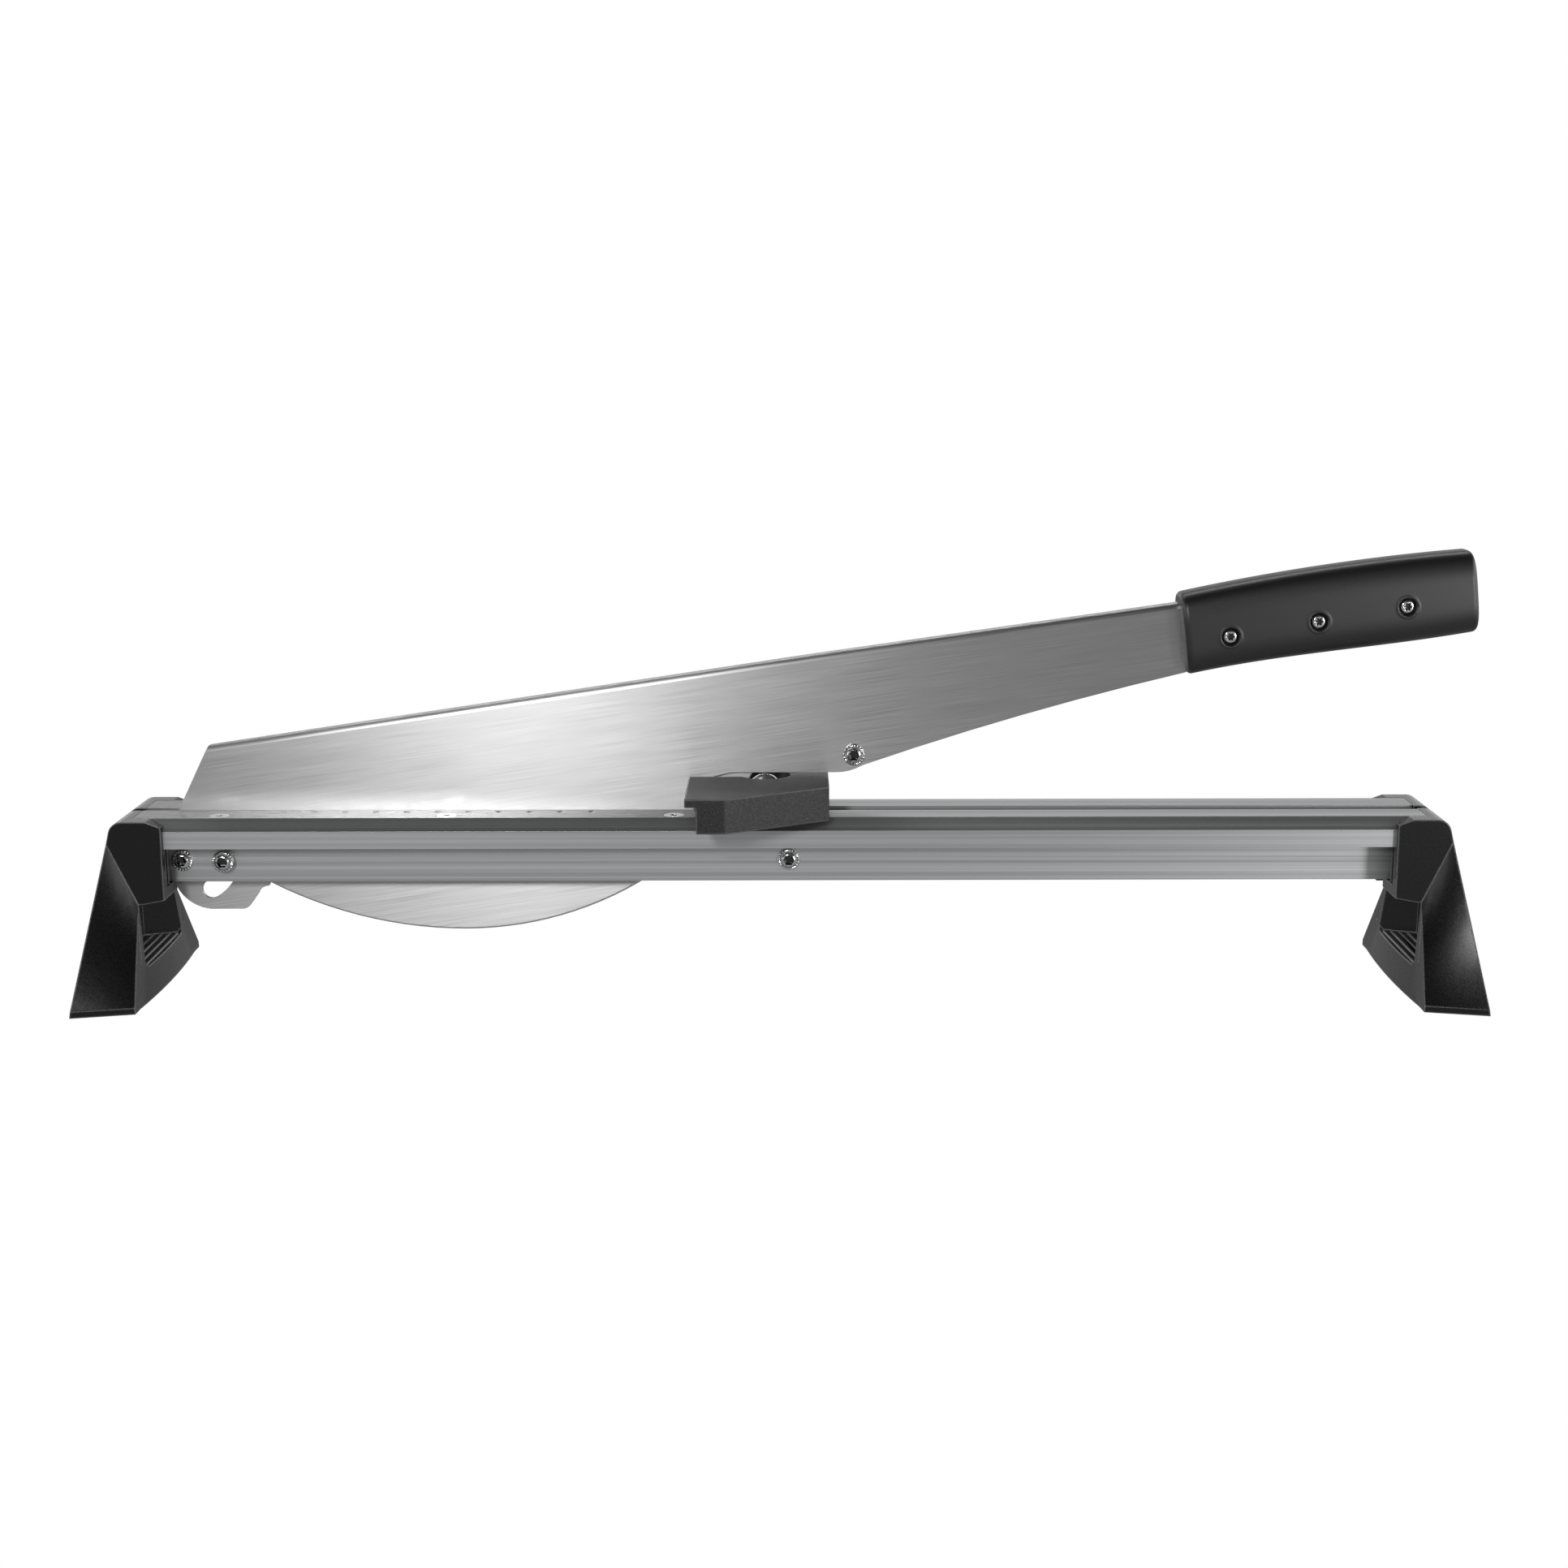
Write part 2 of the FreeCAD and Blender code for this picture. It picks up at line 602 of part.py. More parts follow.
# ---------------------------------------------------------------- grip
def grip_section(along, low, high, half_width, corner):
    """Rounded rectangle square to the grip's own axis, as a closed wire."""
    tilt = math.radians(grip_tilt)
    origin = V(arm_end_x + 4.8, 0, arm_end_z - arm_end_height - 0.6)
    axis = V(math.cos(tilt), 0, math.sin(tilt))
    up = V(-math.sin(tilt), 0, math.cos(tilt))

    def place(y, t):
        return origin + axis * along + up * t + V(0, y, 0)

    edges = []
    corners = [(1, 1, 0), (-1, 1, 90), (-1, -1, 180), (1, -1, 270)]
    for index, (side_y, side_t, turn) in enumerate(corners):
        centre_y = side_y * (half_width - corner)
        centre_t = (high - corner) if side_t > 0 else (low + corner)
        points = []
        for step in (0, 45, 90):
            angle = math.radians(turn + step)
            points.append(place(centre_y + corner * math.cos(angle), centre_t + corner * math.sin(angle)))
        if edges:
            edges.append(line(edges[-1].lastVertex().Point, points[0]))
        edges.append(arc(*points))
    edges.append(line(edges[-1].lastVertex().Point, edges[0].firstVertex().Point))
    return Part.Wire(edges)


def grip_screw_places():
    """Screw axes along the grip's middle line."""
    first_x = arm_end_x + 23.8
    first_z = arm_end_z - 14.9
    rise = 7.1
    return [(first_x + i * (grip_screw_pitch - 0.6), first_z + i * rise) for i in range(3)]


def grip_block():
    """Whole grip before it is split: sections that swell and taper along its axis."""
    last = grip_length - 2.6
    ease = grip_end_ease
    stations = [(ease, 0.0, 40.9), (last * 0.28, 0.5, 42.3), (last * 0.55, 0.7, 42.6),
                (last * 0.8, 0.4, 41.2), (last - ease, 0.0, 39.4)]
    wires = [grip_section(along, low, high, grip_half_width, grip_round) for along, low, high in stations]
    block = Part.makeLoft(wires, True, False)
    ends = [(stations[0], 0.0), (stations[-1], last)]
    for (along, low, high), tip in ends:
        small = grip_section(tip, low + ease, high - ease, grip_half_width - ease, grip_round - ease)
        full = grip_section(along, low, high, grip_half_width, grip_round)
        block = block.fuse(Part.makeLoft([small, full], True, True))
    return block


def make_grip_shell(front):
    """One half of the grip with room for the lever's tang and three screw bosses."""
    block = grip_block()
    side = -1.0 if front else 1.0
    far = side * 40.0
    half = box(arm_end_x - 40.0, arm_end_x + grip_length + 60.0, min(0.0, far), max(0.0, far),
               arm_end_z - 90.0, arm_end_z + 80.0)
    shell = block.common(half)
    tang_low = -arm_front_face - 0.3
    tang_high = -arm_front_face + arm_width + 0.3
    tang = grip_tang_room(tang_low, tang_high)
    for x, z in grip_screw_places():
        tang = tang.cut(rod_y(grip_boss_radius(), x, z, -20, 20))
    shell = shell.cut(tang)
    for x, z in grip_screw_places():
        shell = shell.cut(rod_y(grip_screw_shank_radius + 0.1, x, z, -20, 20))
        if front:
            shell = shell.cut(rod_y(grip_recess_radius, x, z, -20, -grip_half_width + grip_recess_depth))
        else:
            seat = grip_half_width - 4.5
            pocket = hexagon(6.2, V(x, seat, z), V(0, 1, 0), 20.0)
            shell = shell.cut(pocket)
    return shell


def grip_tang_room(y_low, y_high):
    """Room inside the grip round the tang of the lever."""
    tang_x = arm_end_x + grip_length - 18.0
    room = [(arm_end_x - 8.0, arm_top_z(arm_end_x - 8.0) + 0.6),
            (arm_end_x + 3.6, arm_top_z(arm_end_x + 3.6) + 0.6),
            (arm_end_x + 9.0, arm_top_z(arm_end_x + 9.0) - 4.6),
            (tang_x, arm_top_z(tang_x) - 6.0),
            (tang_x, arm_top_z(tang_x) - 27.0),
            (arm_end_x + 9.6, arm_end_z - arm_end_height + 1.2),
            (arm_end_x - 8.0, arm_end_z - arm_end_height - 3.0)]
    return prism_y(room, y_low, y_high)


def make_grip_screws():
    """Three pan-head screws with a round six-lobe drive, seated in the front shell."""
    screws = []
    for x, z in grip_screw_places():
        seat = -grip_half_width + grip_recess_depth
        shank = rod_y(grip_screw_shank_radius, x, z, seat, grip_half_width - 3.0)
        head = button_head(grip_screw_head_radius, 2.2, V(x, seat, z), V(0, -1, 0))
        screw = shank.fuse(head).removeSplitter()
        for i in range(3):
            lobe = hexagon(2.4, V(x, seat - 1.0, z), V(0, -1, 0), 3.0, 20.0 * i)
            screw = screw.cut(lobe)
        screws.append(screw)
    return Part.makeCompound(screws)


def make_grip_nuts():
    """Three hexagon nuts in the rear shell."""
    nuts = []
    for x, z in grip_screw_places():
        seat = grip_half_width - 4.5
        nut = hexagon(6.0, V(x, seat, z), V(0, 1, 0), 2.8)
        nuts.append(nut.cut(rod_y(grip_screw_shank_radius + nut_thread_gap, x, z, 0, 30)))
    return Part.makeCompound(nuts)


# ---------------------------------------------------------------- stop block
def make_stop_block():
    """Swivelling fence: square face towards the tile, lip over it, hub round its screw."""
    outline = [(stop_left, stop_back), (stop_left, stop_front), (stop_left + stop_flat_front, stop_front),
               (stop_right, stop_front_right), (stop_right, stop_back)]
    body = prism_z(outline, stop_base, stop_top)
    upright = [edge for edge in body.Edges
               if abs(edge.Length - stop_height) < 0.01 and edge.CenterOfMass.x > stop_left + 1.0
               and edge.CenterOfMass.y < stop_back - 1.0]
    body = body.makeFillet(4.0, upright)
    lip = box(stop_left - stop_lip_reach, stop_left + 2.0, stop_front, stop_back,
              stop_top - stop_lip_height, stop_top)
    rear_wing = box(stop_screw_x + 4.0, stop_right, stop_back - 1.0, rail_flat_edge - 3.0, stop_base, stop_top)
    rear_rim = box(stop_screw_x - rim_reach, stop_screw_x + 5.0, hub_radius + 0.4, rail_flat_edge - 3.0,
                   stop_base, stop_top)
    hub = rod_z(hub_radius, stop_screw_x, 0, stop_base, stop_base + hub_floor)
    block = body.fuse(lip).fuse(rear_wing).fuse(rear_rim).fuse(hub)
    counterbore = rod_z(hub_radius, stop_screw_x, 0, stop_base + hub_floor, stop_top + 1)
    block = block.cut(counterbore)
    block = block.cut(rod_z(stop_screw_radius + 0.05, stop_screw_x, 0, stop_base - 1, stop_top))
    return block.removeSplitter()


def make_stop_pillar():
    """Spacer tube that carries the stop screw's head just under the lever."""
    low = stop_base + hub_floor + table_gap
    tube = rod_z(stop_screw_radius + 2.2, stop_screw_x, 0, low, stop_top - 3.4)
    return tube.cut(rod_z(stop_screw_radius + 0.05, stop_screw_x, 0, low, stop_top))


def make_stop_screw():
    """Domed screw on the swivel axis, with its head above the pillar."""
    seat = stop_top - 3.4
    low = H - plate_thickness - 12.0
    shank = rod_z(stop_screw_radius, stop_screw_x, 0, low, seat)
    head = button_head(stop_head_radius, stop_head_height, V(stop_screw_x, 0, seat), V(0, 0, 1))
    screw = shank.fuse(head).removeSplitter()
    top = seat + stop_head_height
    return screw.cut(hexagon(socket_across_flats, V(stop_screw_x, 0, top - 2.0), V(0, 0, 1), 4.0))


def make_slot_nut():
    """Nut bar that spans the slot below the table and takes the stop screw."""
    top = H - plate_thickness - 4.0
    reach = slot_half_width - 0.1
    bar = box(stop_screw_x - 10.0, stop_screw_x + 10.0, -reach, reach, top - 6.0, top)
    return bar.cut(rod_z(stop_screw_radius + nut_thread_gap, stop_screw_x, 0, top - 7.0, top + 1))


# ---------------------------------------------------------------- feet
def foot_section(z, outer, inner, depth_outer, depth_inner, inset=0.0):
    """Four-sided level section of a left leg, as a closed wire."""
    x_out = -(outer - inset)
    x_in = -(inner + inset)
    y_out = depth_outer - inset * 1.25
    y_in = depth_inner - inset * 1.25
    points = [V(x_out, -y_out, z), V(x_in, -y_in, z), V(x_in, y_in, z), V(x_out, y_out, z)]
    return polygon(points)


def leg_rim_sections(low, inset):
    """Level sections at the foot of the leg, below and above its upright rim."""
    return [foot_section(low, foot_outer, foot_inner, foot_depth_outer, foot_depth_inner, inset),
            foot_section(foot_rim, foot_outer - 0.4, foot_inner, foot_depth_outer - 0.3,
                         foot_depth_inner - 0.3, inset)]


def leg_solid():
    """Leg from the ground to its sloping seam with the cap; its front and back faces twist."""
    seam = polygon([V(-cap_outer_shoulder, -cap_half_depth, cap_shoulder_z),
                    V(-shoulder_inner, -shoulder_depth_inner, foot_shoulder_z),
                    V(-shoulder_inner, shoulder_depth_inner, foot_shoulder_z),
                    V(-cap_outer_shoulder, cap_half_depth, cap_shoulder_z)])
    return Part.makeLoft(leg_rim_sections(0.0, 0.0) + [seam], True, True)


def leg_hollow():
    """Room inside the leg, a wall's thickness from its faces."""
    sections = leg_rim_sections(-1.0, foot_wall)
    sections.append(foot_section(foot_shoulder_z, shoulder_outer, shoulder_inner, shoulder_depth_outer,
                                 shoulder_depth_inner, foot_wall))
    return Part.makeLoft(sections, True, True)


def cap_solid():
    """Upper block of the foot that takes the rail ends, outer top edge rounded."""
    outline = [(-cap_inner, cap_bottom_z), (-cap_inner, H - cap_ease_drop),
               (-cap_inner - cap_ease_length, H), (-cap_outer_top, H), (-cap_outer_shoulder, cap_shoulder_z),
               (-shoulder_outer, foot_shoulder_z), (-foot_inner - 2.0, foot_shoulder_z)]
    cap = prism_y(outline, -cap_half_depth, cap_half_depth)
    round_edges = []
    for edge in cap.Edges:
        middle = edge.CenterOfMass
        runs_y = abs(edge.Length - 2 * cap_half_depth) < 0.01
        at_corner = abs(middle.x + cap_outer_top) < 0.5 and abs(middle.z - H) < 0.5
        if runs_y and at_corner:
            round_edges.append(edge)
    return cap.makeFillet(cap_top_round, round_edges)


def pocket_outline(grow=0.0):
    """Carry-handle opening as (y, z), grown by the wall when grow is given."""
    top = cap_bottom_z
    return [(-pocket_half_floor - grow, pocket_floor_z - grow), (pocket_half_floor + grow, pocket_floor_z - grow),
            (pocket_half + grow, pocket_side_z), (pocket_half_top + grow, top),
            (-pocket_half_top - grow, top), (-pocket_half - grow, pocket_side_z)]


def pocket_plan(grow=0.0):
    """Carry pocket from above as (x, y): its side walls close in towards the back."""
    mouth = -foot_inner + 10.0
    return [(mouth, -pocket_half - grow), (-foot_inner, -pocket_half - grow),
            (-pocket_back - grow, -pocket_half_back - grow), (-pocket_back - grow, pocket_half_back + grow),
            (-foot_inner, pocket_half + grow), (mouth, pocket_half + grow)]


def pocket_floor_at(x):
    """Height of the pocket's sloping floor."""
    return pocket_floor_z + (pocket_back_z - pocket_floor_z) * (-foot_inner - x) / (pocket_back - foot_inner)


def pocket_half_at(x):
    """Half width of the pocket's plan."""
    return pocket_half - (pocket_half - pocket_half_back) * (-foot_inner - x) / (pocket_back - foot_inner)


def pocket_solid():
    """Room for the fingers above a floor that rises towards the back."""
    room = prism_x(pocket_outline(), -pocket_back, -foot_inner + 9.0)
    room = room.common(prism_z(pocket_plan(), 0.0, H))
    ramp = prism_y([(-pocket_back - 1, pocket_floor_z - 2), (-foot_inner, pocket_floor_z - 2),
                    (-foot_inner, pocket_floor_z), (-pocket_back - 1, pocket_floor_at(-pocket_back - 1))], -80, 80)
    return room.cut(ramp)


def grip_ribs():
    """Finger ribs that run across the floor of the carry pocket."""
    ribs = []
    run = pocket_back - foot_inner
    for i in range(grip_rib_count):
        x = -foot_inner - 2.6 - i * run / (grip_rib_count + 1)
        z = pocket_floor_at(x)
        half = min(pocket_half_floor, pocket_half_at(x)) - 1.5
        outline = [(x - 0.7, z - 1.0), (x + 0.7, z - 1.0), (x + 0.4, z + grip_rib_height),
                   (x - 0.4, z + grip_rib_height)]
        ribs.append(prism_y(outline, -half, half))
    return ribs


def draft_slits():
    """Narrow wedge slits through the inner face, one each side of the carry pocket."""
    outline = [(slit_top_y, slit_top_z), (slit_low_y, slit_low_z), (slit_low_y + slit_width, slit_low_z)]
    slit = prism_x(outline, -foot_inner - 8.0, -foot_inner + 5.0)
    return slit.fuse(mirrored_y(slit))


def socket_ribs():
    """Upright ribs that fill the cap between its front wall and the rail web."""
    ribs = []
    for side in (-1, 1):
        for i in range(socket_rib_count):
            y = side * (rail_web_outer + 3.0 + i * socket_rib_pitch)
            ribs.append(box(-half_rail - 1.0, -cap_inner - 1.2, y - socket_rib_wall / 2, y + socket_rib_wall / 2,
                            web_bottom - 1.0, H - rail_lip_bottom - socket_gap))
    return ribs


def bow_wire(z, bow):
    """Thin segment in front of the leg's inner face at height z, bowed towards the rails' middle."""
    share = z / foot_shoulder_z
    face = -foot_inner - (shoulder_inner - foot_inner) * share
    half = foot_depth_inner + (shoulder_depth_inner - foot_depth_inner) * share - 3.0
    return Part.Wire([arc(V(face - 0.5, -half, z), V(face + bow, 0, z), V(face - 0.5, half, z)),
                      line(V(face - 0.5, half, z), V(face - 0.5, -half, z))])


def bowed_face():
    """Swell of the leg's inner face, full at the ground and gone below the cap."""
    return Part.makeLoft([bow_wire(0.0, foot_bow), bow_wire(foot_shoulder_z - 6.0, 0.05)], True, True)


def make_left_foot():
    """Hollow moulding: leg, rail socket, carry pocket and wells for the pads."""
    foot = leg_solid().fuse(cap_solid())
    foot = foot.fuse(bowed_face())
    # Room for the rail ends, open towards the middle of the tool and above the plates.
    room_end = -half_rail - socket_gap
    rails_room = prism_x(rail_outline(socket_gap), room_end, -cap_inner + 20)
    foot = foot.cut(rails_room).cut(mirrored_y(rails_room))
    foot = foot.cut(box(room_end, -cap_inner + 20, -slot_half_width - 1, slot_half_width + 1, web_bottom - 8, H + 10))
    foot = foot.cut(box(room_end, -cap_inner + 20, -cap_open_half, cap_open_half, H - 6.0, H + 10))
    inner_half = rail_half_width - rail_lip_wall
    foot = foot.cut(box(room_end, -cap_inner + 20, -inner_half, inner_half, web_bottom - socket_gap, H - 6.0))
    for rib in socket_ribs():
        foot = foot.fuse(rib)
    # Hollow under the pocket floor and inside the two legs.
    hollow = leg_hollow()
    keep = prism_x(pocket_outline(foot_wall), -foot_outer, -foot_inner + 20)
    keep = keep.common(prism_z(pocket_plan(foot_wall), -5.0, H))
    under = box(-foot_outer - 10, -foot_inner + 30, -200, 200, -2, foot_shoulder_z - foot_wall)
    foot = foot.cut(hollow.common(under).cut(keep))
    foot = foot.cut(pocket_solid())
    for rib in grip_ribs():
        foot = foot.fuse(rib)
    for side in (-1, 1):
        foot = foot.fuse(pad_floor(side))
    foot = foot.cut(foot_screw_wells()).cut(draft_slits())
    # Slit in the end wall that clears the lever when it is open.
    slit = [(-half_rail + 1.0, H - 20.0), (-half_rail + 1.0, H + 5), (-cap_outer_shoulder - 3.0, H + 5),
            (-cap_outer_shoulder - 3.0, H - 1.0), (-half_rail - 1.0, H - 20.0)]
    foot = foot.cut(prism_y(slit, -lever_slit_half, lever_slit_half))
    return foot.removeSplitter()


def pad_place(side):
    """Middle of a ground pad on the left foot."""
    return -(foot_outer + foot_inner) / 2.0, side * (foot_depth_inner - 16.0)


def pad_floor(side):
    """Bridge inside the leg that a ground pad is glued to."""
    x, y = pad_place(side)
    low = pad_thickness - pad_stand
    return box(x - 12.4, x + 12.4, y - pad_length / 2 - 1, y + pad_length / 2 + 1, low, low + foot_wall)


def make_pads():
    """Two rubber pads under the left foot."""
    pads = []
    for side in (-1, 1):
        x, y = pad_place(side)
        pads.append(box(x - pad_width / 2, x + pad_width / 2, y - pad_length / 2, y + pad_length / 2,
                        -pad_stand, pad_thickness - pad_stand))
    return Part.makeCompound(pads)


def foot_screw(side, grow=0.0):
    """Self-tapping screw from below through the socket floor into a rail web."""
    y = side * web_middle
    seat = cap_bottom_z
    head = rod_z(foot_screw_head_radius + grow, -foot_screw_x, y, seat - foot_screw_head_height, seat)
    shank = rod_z(foot_screw_radius + grow, -foot_screw_x, y, seat, web_bottom + 3.0)
    return head.fuse(shank)


def foot_screw_wells():
    """Clearance holes for the two foot screws, reached from the carry pocket."""
    wells = []
    for side in (-1, 1):
        y = side * web_middle
        wells.append(rod_z(foot_screw_radius + 0.1, -foot_screw_x, y, cap_bottom_z - 2, web_bottom))
        wells.append(rod_z(foot_screw_head_radius + 0.3, -foot_screw_x, y, foot_shoulder_z - 6, cap_bottom_z))
    return wells[0].fuse(wells[1:])


def make_foot_screws():
    """Two screws of the left foot, each with a hexagon socket."""
    screws = []
    for side in (-1, 1):
        socket = hexagon(3.0, V(-foot_screw_x, side * web_middle, cap_bottom_z - foot_screw_head_height - 1),
                         V(0, 0, 1), 2.4)
        screws.append(foot_screw(side).removeSplitter().cut(socket))
    return Part.makeCompound(screws)


def raised(shape):
    """Lift the tool so that its pads stand at Z = 0."""
    lifted = shape.copy()
    lifted.translate(V(0, 0, pad_stand))
    return lifted


# ---------------------------------------------------------------- assembly
def build():
    os.makedirs("parts", exist_ok=True)
    front_rail = make_front_rail()
    front_plate = make_front_plate()
    plate_screws = make_plate_screws()
    left_foot = make_left_foot()
    pads = make_pads()
    foot_screws = make_foot_screws()
    nodes = {
        "front_rail": front_rail,
        "rear_rail": mirrored_y(front_rail),
        "front_table_plate": front_plate,
        "rear_table_plate": mirrored_y(front_plate),
        "front_plate_screws": plate_screws,
        "rear_plate_screws": mirrored_y(plate_screws),
        "left_foot": left_foot,
        "right_foot": mirrored_x(left_foot),
        "left_foot_pads": pads,
        "right_foot_pads": mirrored_x(pads),
        "left_foot_screws": foot_screws,
        "right_foot_screws": mirrored_x(foot_screws),
        "pivot_bolt": make_cross_bolt(pivot_x),
        "pivot_sleeve": make_sleeve(pivot_x, sleeve_radius),
        "pivot_nut": make_nut(pivot_x),
        "front_pivot_washer": make_pivot_washer(-slot_half_width + 0.1, knife_front - 0.1),
        "rear_pivot_washer": make_pivot_washer(knife_back + 0.1, slot_half_width - 0.1),
        "travel_stop_bolt": make_cross_bolt(travel_x, head_spacer_height),
        "travel_stop_spacer": make_head_spacer(),
        "travel_stop_sleeve": make_sleeve(travel_x, travel_sleeve_radius),
        "travel_stop_nut": make_nut(travel_x),
        "tie_bolt": make_cross_bolt(tie_x),
        "tie_sleeve": make_sleeve(tie_x, sleeve_radius),
        "tie_nut": make_nut(tie_x),
        "knife": make_knife(),
        "lever_arm": make_arm(),
        "arm_screw": make_arm_screw(),
        "arm_nut": make_arm_nut(),
        "front_grip_shell": make_grip_shell(True),
        "rear_grip_shell": make_grip_shell(False),
        "grip_screws": make_grip_screws(),
        "grip_nuts": make_grip_nuts(),
        "stop_block": make_stop_block(),
        "stop_pillar": make_stop_pillar(),
        "stop_screw": make_stop_screw(),
        "slot_nut": make_slot_nut(),
    }
    for name, shape in nodes.items():
        export(name, raised(shape))


build()
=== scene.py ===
import logging
import math
from dataclasses import dataclass, field
from enum import Enum

import bmesh
import bpy
import numpy as np
from mathutils import Matrix, Vector


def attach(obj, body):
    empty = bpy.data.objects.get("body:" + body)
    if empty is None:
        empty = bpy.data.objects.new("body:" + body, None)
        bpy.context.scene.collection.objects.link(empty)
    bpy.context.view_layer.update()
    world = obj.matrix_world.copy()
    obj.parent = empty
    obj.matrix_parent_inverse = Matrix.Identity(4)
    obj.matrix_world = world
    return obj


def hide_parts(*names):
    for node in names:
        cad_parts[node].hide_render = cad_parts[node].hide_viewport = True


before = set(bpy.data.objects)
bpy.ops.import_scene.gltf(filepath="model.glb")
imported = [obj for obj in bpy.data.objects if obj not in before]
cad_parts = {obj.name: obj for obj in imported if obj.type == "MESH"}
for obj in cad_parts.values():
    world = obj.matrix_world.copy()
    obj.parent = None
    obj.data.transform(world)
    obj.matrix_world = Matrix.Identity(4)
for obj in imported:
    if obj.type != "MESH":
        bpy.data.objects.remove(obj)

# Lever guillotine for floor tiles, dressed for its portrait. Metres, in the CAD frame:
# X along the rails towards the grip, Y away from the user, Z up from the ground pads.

MM = 0.001
WELD = 0.002 * MM           # points nearer than this are one point
FLAT_DEG = 0.4              # triangles that turn by less belong to one face
CREASE_DEG = 32.0           # sharper edges of screws stay sharp in the shading
EASE_MARGIN_DEG = 4.0       # shading creases start this far past the edges that are eased
SCRATCH_DEPTH = 0.02 * MM   # relief of brush and die lines
LOG = logging.getLogger("cutter")
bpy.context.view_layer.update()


class Body(Enum):
    """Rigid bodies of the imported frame."""

    BENCH = "bench"
    LEVER = "lever"
    STOP = "stop"


class Grain(Enum):
    """Direction in which a metal surface was brushed or drawn."""

    ALONG_RAIL = 0.0
    ALONG_LEVER = 8.5


class Drive(Enum):
    """Shape of a screw's socket."""

    HEXAGON = "hexagon"
    LOBES = "six lobes"


# ---------------------------------------------------------------- colour and nodes
def srgb(code: str) -> tuple[float, float, float, float]:
    """Turn an sRGB hex colour into linear RGBA.

    Args:
        code: six hex digits with a leading hash.

    Returns:
        Linear red, green, blue and an alpha of one.
    """
    levels = [int(code[i:i + 2], 16) / 255.0 for i in (1, 3, 5)]
    linear = [v / 12.92 if v <= 0.04045 else ((v + 0.055) / 1.055) ** 2.4 for v in levels]
    return (linear[0], linear[1], linear[2], 1.0)


def add_node(tree: bpy.types.NodeTree, kind: str, settings: dict | None = None,
             inputs: dict | None = None) -> bpy.types.Node:
    """Add one node, set its properties, then fill or link its inputs.

    Args:
        tree: node tree that gets the node.
        kind: Blender's type name of the node.
        settings: property name to value.
        inputs: input name or index to a value, or to an output socket to link from.

    Returns:
        The new node.
    """
    node = tree.nodes.new(kind)
    for key, value in (settings or {}).items():
        setattr(node, key, value)
    for key, value in (inputs or {}).items():
        if isinstance(value, bpy.types.NodeSocket):
            tree.links.new(value, node.inputs[key])
        else:
            node.inputs[key].default_value = value
    return node


def ramp(tree: bpy.types.NodeTree, source: bpy.types.NodeSocket, low: float, high: float,
         start: float = 0.0, end: float = 1.0) -> bpy.types.NodeSocket:
    """Map a value linearly from the span low..high to start..end, clamped.

    Args:
        tree: node tree that gets the node.
        source: value to map.
        low: source value that gives start.
        high: source value that gives end.
        start: first result.
        end: last result.

    Returns:
        The mapped value.
    """
    node = add_node(tree, "ShaderNodeMapRange", {"clamp": True},
                    {"Value": source, "From Min": low, "From Max": high, "To Min": start, "To Max": end})
    return node.outputs["Result"]


def new_material(name: str) -> tuple[bpy.types.Material, bpy.types.NodeTree, bpy.types.Node]:
    """Make an empty node material with a principled shader.

    Args:
        name: name of the material.

    Returns:
        The material, its node tree and its principled shader.
    """
    material = bpy.data.materials.new(name)
    material.use_nodes = True
    tree = material.node_tree
    tree.nodes.clear()
    shader = add_node(tree, "ShaderNodeBsdfPrincipled")
    add_node(tree, "ShaderNodeOutputMaterial", inputs={"Surface": shader.outputs["BSDF"]})
    return material, tree, shader


def stretched_noise(tree: bpy.types.NodeTree, sizes_mm: tuple[float, float, float], turn_deg: float = 0.0,
                    detail: float = 2.0) -> bpy.types.NodeSocket:
    """Noise on Object coordinates whose cells measure sizes_mm along X, Y and Z.

    Args:
        tree: node tree that gets the nodes.
        sizes_mm: cell size along each axis, in millimetres.
        turn_deg: turn of the pattern about Y, nose up.
        detail: octaves of the noise.

    Returns:
        The noise value, about 0.3 to 0.7.
    """
    place = add_node(tree, "ShaderNodeTexCoord").outputs["Object"]
    turned = add_node(tree, "ShaderNodeMapping", inputs={"Vector": place,
                                                        "Rotation": (0.0, math.radians(turn_deg), 0.0)})
    scaled = add_node(tree, "ShaderNodeMapping",
                      inputs={"Vector": turned.outputs["Vector"],
                              "Scale": tuple(1.0 / (s * MM) for s in sizes_mm)})
    noise = add_node(tree, "ShaderNodeTexNoise", inputs={"Vector": scaled.outputs["Vector"], "Scale": 1.0,
                                                        "Detail": detail, "Roughness": 0.6})
    return noise.outputs["Fac"]


